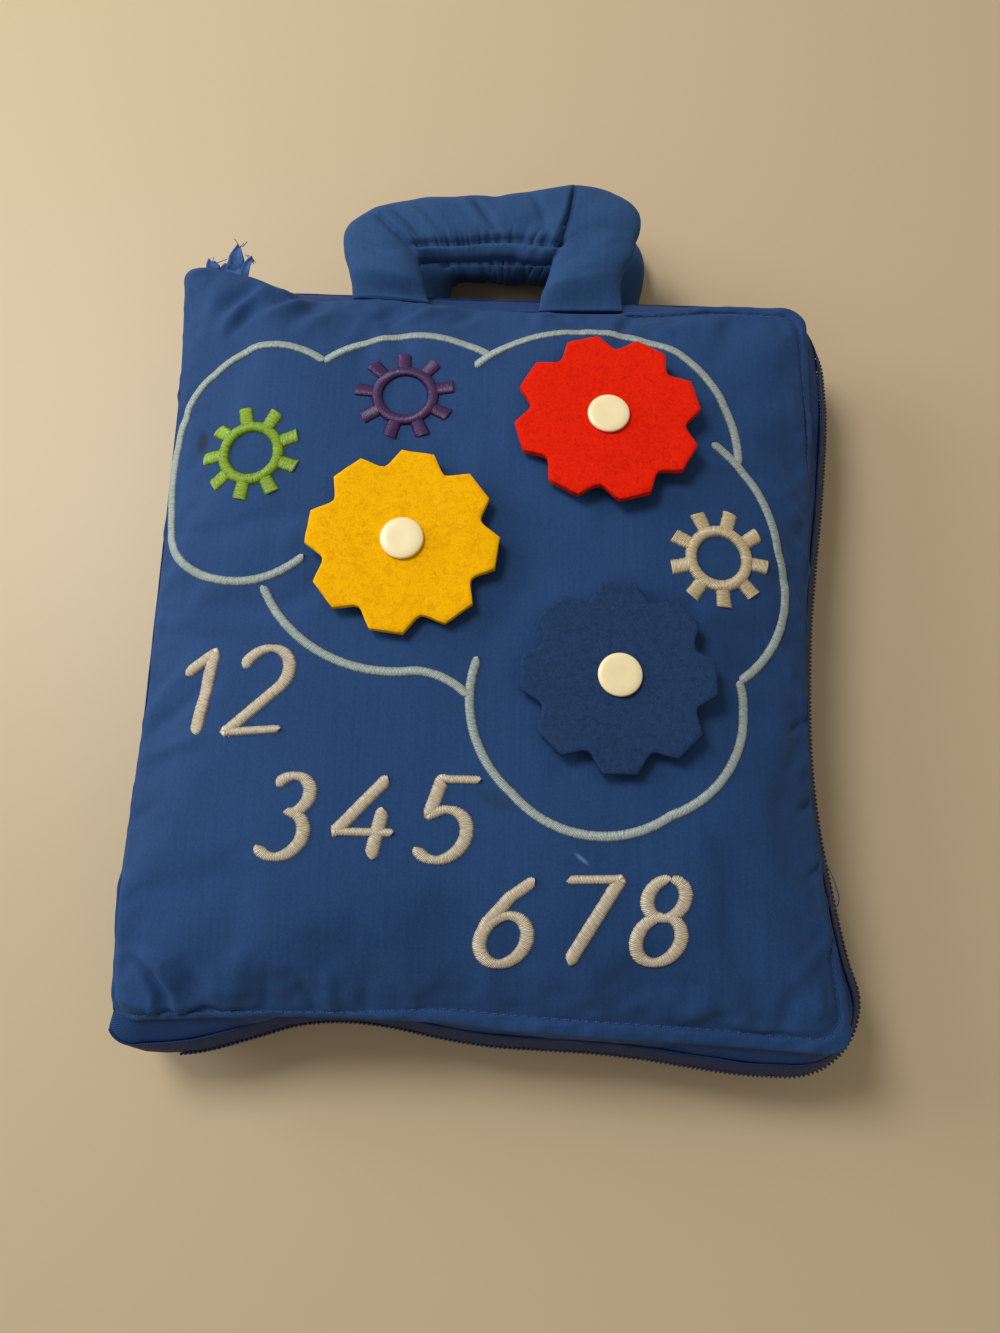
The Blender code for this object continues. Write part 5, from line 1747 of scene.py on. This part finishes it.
def satin_piece(name, strokes, surface, finish, lift, square_ends=False):
    """Satin stitch: each stroke is a raised band of threads laid across its line.

    A stroke is a list of (point, half width). The threads are about 0.45 mm wide.
    """
    rng = random.Random(len(strokes) * 7 + 1)
    points, uvs, faces = [], [], []
    for stroke in strokes:
        line = evenly([Vector(point) for point, _ in stroke], THREAD_PITCH / 2)
        total = line[-1][1]
        sideways = outward([point for point, _ in line])
        loops = []
        for i, (point, along) in enumerate(line):
            place = along / total * (len(stroke) - 1)
            low = min(int(place), len(stroke) - 2)
            half = stroke[low][1] + (stroke[low + 1][1] - stroke[low][1]) * (place - low)
            if not square_ends:
                end = min(along, total - along) / half
                if end < 1:
                    half *= max(0.25, math.sqrt(1 - (1 - end) ** 2))
            half *= 1 + rng.uniform(-0.05, 0.05)
            ridge = 0.0 if i % 2 else -0.09 * MM
            way = Vector((sideways[i].y, -sideways[i].x))
            loop = []
            for j in range(ACROSS_STEPS + 1):
                across = 2 * j / ACROSS_STEPS - 1
                flat = point + sideways[i] * half * across + way * 0.35 * MM * across
                ground, normal = surface.drop(flat.x, flat.y)
                rise = lift * math.sqrt(max(0, 1 - across**2)) + ridge - 0.06 * MM
                loop.append(len(points))
                points.append(ground + normal * rise)
                uvs.append((along, half * across))
            ground, normal = surface.drop(point.x, point.y)
            loop.append(len(points))
            points.append(ground - normal * 0.4 * MM)
            uvs.append((along, 0.0))
            loops.append(loop)
        skin(faces, loops)
    made = closed_piece(name, points, faces, uvs, finish)
    return finish_piece(made, "front")


def arc(centre_x, centre_y, radius, start, end):
    """Points on a circle from one angle to another, in degrees."""
    count = max(6, int(abs(end - start) / 8))
    made = []
    for i in range(count + 1):
        angle = math.radians(start + (end - start) * i / count)
        made.append((centre_x + radius * math.cos(angle), centre_y + radius * math.sin(angle)))
    return made


# Digits on a box one unit high, as the strokes of a rounded hand
DIGITS = {
    "1": [[(0.14, 0.76), (0.44, 1.0), (0.44, 0.0)]],
    "2": [arc(0.36, 0.70, 0.29, 165, -38) + [(0.04, 0.0), (0.70, 0.0)]],
    "3": [arc(0.34, 0.755, 0.24, 150, -80), arc(0.35, 0.27, 0.28, 95, -150)],
    "4": [[(0.50, 1.0), (0.02, 0.32), (0.74, 0.32)], [(0.54, 0.62), (0.54, 0.0)]],
    "5": [[(0.66, 1.0), (0.18, 1.0), (0.13, 0.56)] + arc(0.34, 0.31, 0.31, 125, -150)],
    "6": [[(0.60, 1.0), (0.34, 0.80), (0.12, 0.50)] + arc(0.36, 0.29, 0.29, 165, 525)],
    "7": [[(0.04, 1.0), (0.70, 1.0), (0.26, 0.0)]],
    "8": [arc(0.36, 0.76, 0.235, 90, 450), arc(0.36, 0.27, 0.275, 90, 450)],
}
# Text of digits, the low left corner of its first digit, the height and the slope
NUMBERS = (
    ("12", (-104, -40), 27, 21, 4),
    ("345", (-72, -77), 25, 25, 0),
    ("678", (-2, -108), 25, 24, 2),
)
NUMBER_LEAN = 0.22


def number_strokes():
    strokes = []
    for text, (left, low), height, step, slope in NUMBERS:
        turn = math.radians(slope)
        for k, digit in enumerate(text):
            for line in DIGITS[digit]:
                placed = []
                for x, y in line:
                    flat = Vector(((x + NUMBER_LEAN * y) * height + k * step, y * height))
                    flat.rotate(Matrix.Rotation(turn, 2))
                    placed.append((Vector((left, low)) + flat) * MM)
                strokes.append(weighted(evenly(placed, 0.9 * MM)))
    return strokes


def weighted(line):
    """A pen's weight: a stroke is wider where it runs down than where it runs across."""
    made = []
    points = [point for point, _ in line]
    for i, point in enumerate(points):
        along = points[min(i + 1, len(points) - 1)] - points[max(i - 1, 0)]
        down = abs(along.normalized().y)
        made.append((point, (1.4 + 0.95 * down) * MM))
    return made


def through(start, middle, end):
    """The circular arc from start to end through middle, in millimetres."""
    (ax, ay), (bx, by), (cx, cy) = start, middle, end
    d = 2 * (ax * (by - cy) + bx * (cy - ay) + cx * (ay - by))
    ux = (
        (ax**2 + ay**2) * (by - cy) + (bx**2 + by**2) * (cy - ay) + (cx**2 + cy**2) * (ay - by)
    ) / d
    uy = (
        (ax**2 + ay**2) * (cx - bx) + (bx**2 + by**2) * (ax - cx) + (cx**2 + cy**2) * (bx - ax)
    ) / d
    radius = math.hypot(ax - ux, ay - uy)
    first = math.atan2(ay - uy, ax - ux)
    halfway = (math.atan2(by - uy, bx - ux) - first) % (2 * math.pi)
    last = (math.atan2(cy - uy, cx - ux) - first) % (2 * math.pi)
    if halfway > last:
        last -= 2 * math.pi
    count = max(8, int(radius * abs(last) / 3))
    made = []
    for i in range(count + 1):
        angle = first + last * i / count
        made.append((ux + radius * math.cos(angle), uy + radius * math.sin(angle)))
    return made


# The lobes of a plain cloud, as lines of arcs: start, a place on the way, end, which starts the
# next, and so on
CLOUD_LOBES = (
    (
        (-61, 21.5), (-84, 12.5), (-103, 20), (-108.6, 28), (-110.2, 38), (-111.6, 58),
        (-109.4, 76), (-106, 85), (-99, 91.5), (-79, 100.5), (-59, 94),
    ),
    ((-59, 94), (-32, 107.5), (-0.5, 98.8)),
    ((-6.3, 94.2), (29, 112.4), (66.5, 103.8), (80.6, 85.4), (86.2, 60.7)),
    ((77.3, 68), (92, 51.5), (99.5, 30), (100.5, 6), (84, -16.6)),
    ((84, -16.6), (80.5, -44), (60, -61.5), (36, -68.5), (10, -56), (-3.6, -33), (-2.1, -12.4)),
    ((-74, 11), (-52, -12.5), (-22.3, -17.4), (-13, -19.5), (-4.8, -25.2)),
)
CLOUD_HALF_WIDTH = 1.65 * MM


def cloud_strokes():
    strokes = []
    for lobe in CLOUD_LOBES:
        line = []
        for start, middle, end in zip(lobe[::2], lobe[1::2], lobe[2::2]):
            line += through(start, middle, end)[1 if line else 0 :]
        placed = [Vector(point) * MM for point in line]
        strokes.append([(point, CLOUD_HALF_WIDTH) for point, _ in evenly(placed, 1.2 * MM)])
    return strokes


WHEEL_TEETH = 9
WHEEL_HOLE = 7.6 * MM
WHEEL_RING = 11.8 * MM
WHEEL_RADIUS = 17.0 * MM
# Centre of each embroidered cogwheel in millimetres and its turn in degrees
WHEELS = {
    "green": ((-82, 58.6), 11),
    "purple": ((-30.1, 81.3), 4),
    "ivory": ((77.9, 25.0), -15),
}


def make_wheel(colour, surface):
    """An embroidered cogwheel: short bands for the teeth, then a ring over their roots."""
    (x, y), turn = WHEELS[colour]
    centre = Vector((x, y)) * MM
    teeth = []
    for tooth in range(WHEEL_TEETH):
        angle = math.radians(90 + turn + 360 * tooth / WHEEL_TEETH)
        spoke = Vector((math.cos(angle), math.sin(angle)))
        inner, outer = WHEEL_RING - 1.2 * MM, WHEEL_RADIUS
        line = []
        for i in range(6):
            share = i / 5
            point = centre + spoke * (inner + (outer - inner) * share)
            line.append((point, (2.55 + 0.2 * share) * MM))
        teeth.append(line)
    satin_piece(f"{colour}_wheel_teeth", teeth, surface, WHEEL_THREADS[colour], 1.0 * MM, True)
    middle = (WHEEL_HOLE + WHEEL_RING) / 2
    half = (WHEEL_RING - WHEEL_HOLE) / 2
    ring = []
    for i in range(66):
        angle = 2 * math.pi * i / 64
        ring.append((centre + middle * Vector((math.cos(angle), math.sin(angle))), half))
    satin_piece(f"{colour}_wheel_ring", [ring], surface, WHEEL_THREADS[colour], 1.5 * MM, True)


STITCH_PITCH = 3.2 * MM
STITCH_LENGTH = 2.3 * MM
STITCH_RADIUS = 0.2 * MM
STITCH_STEPS = 6
# How much further out than the seam the stitches lie, as a share of the way to the edge
STITCH_OUTSIDE = 0.0035


def on_wide_border(point):
    """Whether the front cover's border is wide enough at a place for its stitches to show."""
    way = point - box_centre("front_cover")
    a, b = way.x / HALF_WIDTH, way.y / HALF_HEIGHT
    most = max(abs(a), abs(b))
    return border_width(a / most, b / most) > 0.35


def stitch_line():
    """The line of the stitches round the front cover, clockwise and closed."""
    centre = box_centre("front_cover")
    made = []
    for i, j in reversed(rim_walk(120, 120)):
        a, b = i / 60 - 1, j / 60 - 1
        share = front_seam_share(a, b) + STITCH_OUTSIDE
        made.append(centre + (front_edge(a, b) - centre) * share)
    return [*made, made[0]]


def make_stitches(surface):
    """Short sewn stitches along the wide border, each a thread that dips into the cloth."""
    points, uvs, faces = [], [], []
    steps = evenly(stitch_line(), STITCH_PITCH / STITCH_STEPS)
    count = int(STITCH_LENGTH / STITCH_PITCH * STITCH_STEPS)
    for start in range(0, len(steps) - STITCH_STEPS, STITCH_STEPS):
        if not on_wide_border(steps[start][0]):
            continue
        wire = []
        for k in range(count + 1):
            point = steps[min(start + k, len(steps) - 1)][0]
            share = k / count
            arch = math.sin(math.pi * share)
            ground, normal = surface.drop(point.x, point.y)
            wire.append(ground + normal * (STITCH_RADIUS * (0.9 * arch - 0.5)))
        tube(wire, STITCH_RADIUS, 5, faces, points, uvs)
    made = closed_piece("border_stitching", points, faces, uvs, STITCH_THREAD)
    return finish_piece(made, "front")


# Frayed end

# Torn flaps of the tape, each as its left edge, its right edge and how high its root and its tip
# stand, in millimetres
FLAPS = (
    (
        ((-111, 137), (-110.3, 145), (-105.4, 150.5)),
        ((-98, 137), (-98.4, 145), (-99.4, 150)), 22, 28,
    ),
    (
        ((-105.6, 147.5), (-103.0, 152.4), (-99.9, 156.2)),
        ((-98.6, 147), (-97.4, 151), (-98.9, 155.8)), 27, 32,
    ),
    (
        ((-100.0, 144.5), (-97.6, 149.0), (-94.4, 151.8)),
        ((-96.6, 144), (-94.6, 148.4), (-93.6, 150.4)), 27, 31,
    ),
    (
        ((-111.0, 143.5), (-111.8, 147.2), (-110.9, 150.2)),
        ((-106.8, 144), (-106.3, 147.6), (-108.4, 149.2)), 27, 31,
    ),
)
FLAP_ROWS, FLAP_COLUMNS = 14, 8


def make_fray():
    """The torn end of the tape: ragged flaps of cloth that curl up, and a few loose threads."""
    rng = random.Random(11)
    points, uvs, faces = [], [], []
    for left, right, root_z, tip_z in FLAPS:
        edges = [evenly([Vector(place) for place in side], 0.5) for side in (left, right)]
        sheets = []
        for layer in (0.3, -0.3):
            grid = []
            for j in range(FLAP_ROWS + 1):
                share = j / FLAP_ROWS
                start, end = (side[round(share * (len(side) - 1))][0] for side in edges)
                for i in range(FLAP_COLUMNS + 1):
                    across = i / FLAP_COLUMNS
                    flat = start.lerp(end, across)
                    torn = noise.noise(Vector((across * 4, root_z, 2))) * 1.4 if j == FLAP_ROWS else 0
                    curl = 1.6 * math.sin(math.pi * share) + 1.2 * (2 * across - 1) ** 2 * share
                    ripple = noise.noise(Vector((flat.x / 2.5, flat.y / 4, root_z))) * 0.5
                    z = root_z + (tip_z - root_z) * share + curl + ripple + layer
                    grid.append(len(points))
                    points.append(Vector((flat.x, flat.y + torn, z)) * MM)
                    uvs.append((flat.x * MM, flat.y * MM))
            sheets.append(grid)
        count = FLAP_COLUMNS + 1
        for grid, turned in zip(sheets, (False, True)):
            for j in range(FLAP_ROWS):
                for i in range(FLAP_COLUMNS):
                    first = j * count + i
                    face = [grid[first + k] for k in (0, 1, count + 1, count)]
                    faces.append(face[::-1] if turned else face)
        walk = rim_walk(FLAP_COLUMNS, FLAP_ROWS)
        top, bottom = ([grid[j * count + i] for i, j in walk] for grid in sheets)
        join_loops(faces, bottom, top)
        tip = (edges[0][-1][0] + edges[1][-1][0]) / 2
        for _ in range(3):
            start = Vector((tip.x + rng.uniform(-1.5, 1), tip.y + rng.uniform(-2, 0), tip_z)) * MM
            way = Vector((rng.uniform(-0.6, 0.8), rng.uniform(0.3, 1), rng.uniform(-0.1, 0.4)))
            bend = Vector((rng.uniform(-1, 1), rng.uniform(-0.6, 0.6), rng.uniform(-0.5, 0.4)))
            length = rng.uniform(2.5, 4.5) * MM
            wire = []
            for k in range(9):
                share = k / 8
                wire.append(start + way.normalized() * length * share + bend * length * 0.4 * share**2)
            tube(wire, 0.16 * MM, 5, faces, points, uvs)
    made = closed_piece("frayed_tuft", points, faces, uvs, FRAYED_COTTON)
    return finish_piece(made, "front", ["frayed_tape_end"])


# A loop of loose sewing thread at the edge, in millimetres
LOOSE_THREAD = (
    (113.6, -73.5, 38), (115.7, -76, 37.5), (117.1, -79.7, 37), (118.2, -83, 36.5),
    (118.7, -84.9, 36.3), (118.2, -87, 36.4), (117, -88.1, 37), (115, -88.8, 38),
)


def make_loose_thread():
    places = [Vector(place) * MM for place in LOOSE_THREAD]
    for _ in range(3):
        finer = [places[0]]
        for start, end in zip(places, places[1:]):
            finer += [start.lerp(end, 0.25), start.lerp(end, 0.75)]
        places = [*finer, places[-1]]
    points, uvs, faces = [], [], []
    tube(places, 0.18 * MM, 6, faces, points, uvs)
    made = closed_piece("loose_thread", points, faces, uvs, STITCH_THREAD)
    return finish_piece(made, "front")


# Camera, floor and light

CAMERA_PLACE = Vector((1.4, -92.7, 371.6)) * MM
CAMERA_AHEAD = Vector((0.0116, 0.2401, -0.9707))
CAMERA_RIGHT = Vector((0.9996, 0.0240, 0.0178))
FOCAL_PIXELS = 1001
FRAME_HEIGHT = 1333
SENSOR = 36


def make_camera():
    ahead = CAMERA_AHEAD.normalized()
    right = (CAMERA_RIGHT - ahead * CAMERA_RIGHT.dot(ahead)).normalized()
    up = right.cross(ahead)
    data = bpy.data.cameras.new("camera")
    data.sensor_width = SENSOR
    data.lens = SENSOR * FOCAL_PIXELS / FRAME_HEIGHT
    data.clip_start = 0.01
    made = bpy.data.objects.new("camera", data)
    turned = Matrix((right, up, -ahead)).transposed().to_4x4()
    made.matrix_world = Matrix.Translation(CAMERA_PLACE) @ turned
    SCENE.collection.objects.link(made)
    SCENE.camera = made


def make_floor():
    """A pale satin table top."""
    made, tree, shader = new_material("painted_table_top")
    peel = mottled(tree, object_place(tree), 3 * MM, 2.0)
    bump(tree, shader, peel.outputs["Fac"], 0.15, 0.1 * MM)
    set_shader(shader, base_color=linear("#CBB897"), roughness=0.5)
    deselect()
    bpy.ops.mesh.primitive_plane_add(size=6, location=(0, 0, -0.05 * MM))
    floor = bpy.context.object
    floor.name = "table_top"
    floor.data.materials.append(made)
    deselect()


def area_light(name, place, size, energy, colour):
    data = bpy.data.lights.new(name, "AREA")
    data.shape = "DISK"
    data.size = size
    data.energy = energy
    data.color = colour
    made = bpy.data.objects.new(name, data)
    made.location = Vector(place)
    made.rotation_euler = (-Vector(place)).to_track_quat("-Z", "Y").to_euler()
    SCENE.collection.objects.link(made)


def make_lights():
    """A window high on the left, the cool sky low beside it and a warm, dimmer room."""
    world = bpy.data.worlds.new("room")
    world.use_nodes = True
    background = world.node_tree.nodes["Background"]
    background.inputs["Color"].default_value = (1.0, 0.9, 0.78, 1)
    background.inputs["Strength"].default_value = 0.33
    SCENE.world = world
    area_light("window", (-0.5, 0.42, 0.95), 0.4, 6.9, (1.0, 0.97, 0.93))
    area_light("sky", (-1.5, 0.5, 0.7), 1.0, 13.2, (0.88, 0.95, 1.0))


def main():
    deselect()
    SCENE.view_settings.view_transform = "Standard"
    make_camera()
    make_floor()
    make_lights()
    cover = make_front_cover()
    surface = Surface(cover)
    make_back_cover()
    make_spine()
    for index in range(1, 6):
        make_leaf(index)
    for front in (True, False):
        make_wall(front)
        make_tape(front)
        make_coil(front)
    softened("zip_slider", 0.3 * MM, SLIDER_PAINT, "slider")
    softened("zip_pull", 0.35 * MM, SLIDER_PAINT, "pull")
    softened("front_top_stop", 0.5 * MM, COIL_NYLON, "front")
    softened("back_top_stop", 0.5 * MM, COIL_NYLON, "back")
    softened("bottom_stop", 0.5 * MM, COIL_NYLON, "back")
    make_front_handle()
    make_back_handle()
    make_snaps()
    satin_piece("cloud_stitching", cloud_strokes(), surface, CLOUD_THREAD, 0.9 * MM)
    satin_piece("number_stitching", number_strokes(), surface, NUMBER_THREAD, 1.1 * MM)
    for colour in WHEELS:
        make_wheel(colour, surface)
    make_stitches(surface)
    make_fray()
    make_loose_thread()


main()
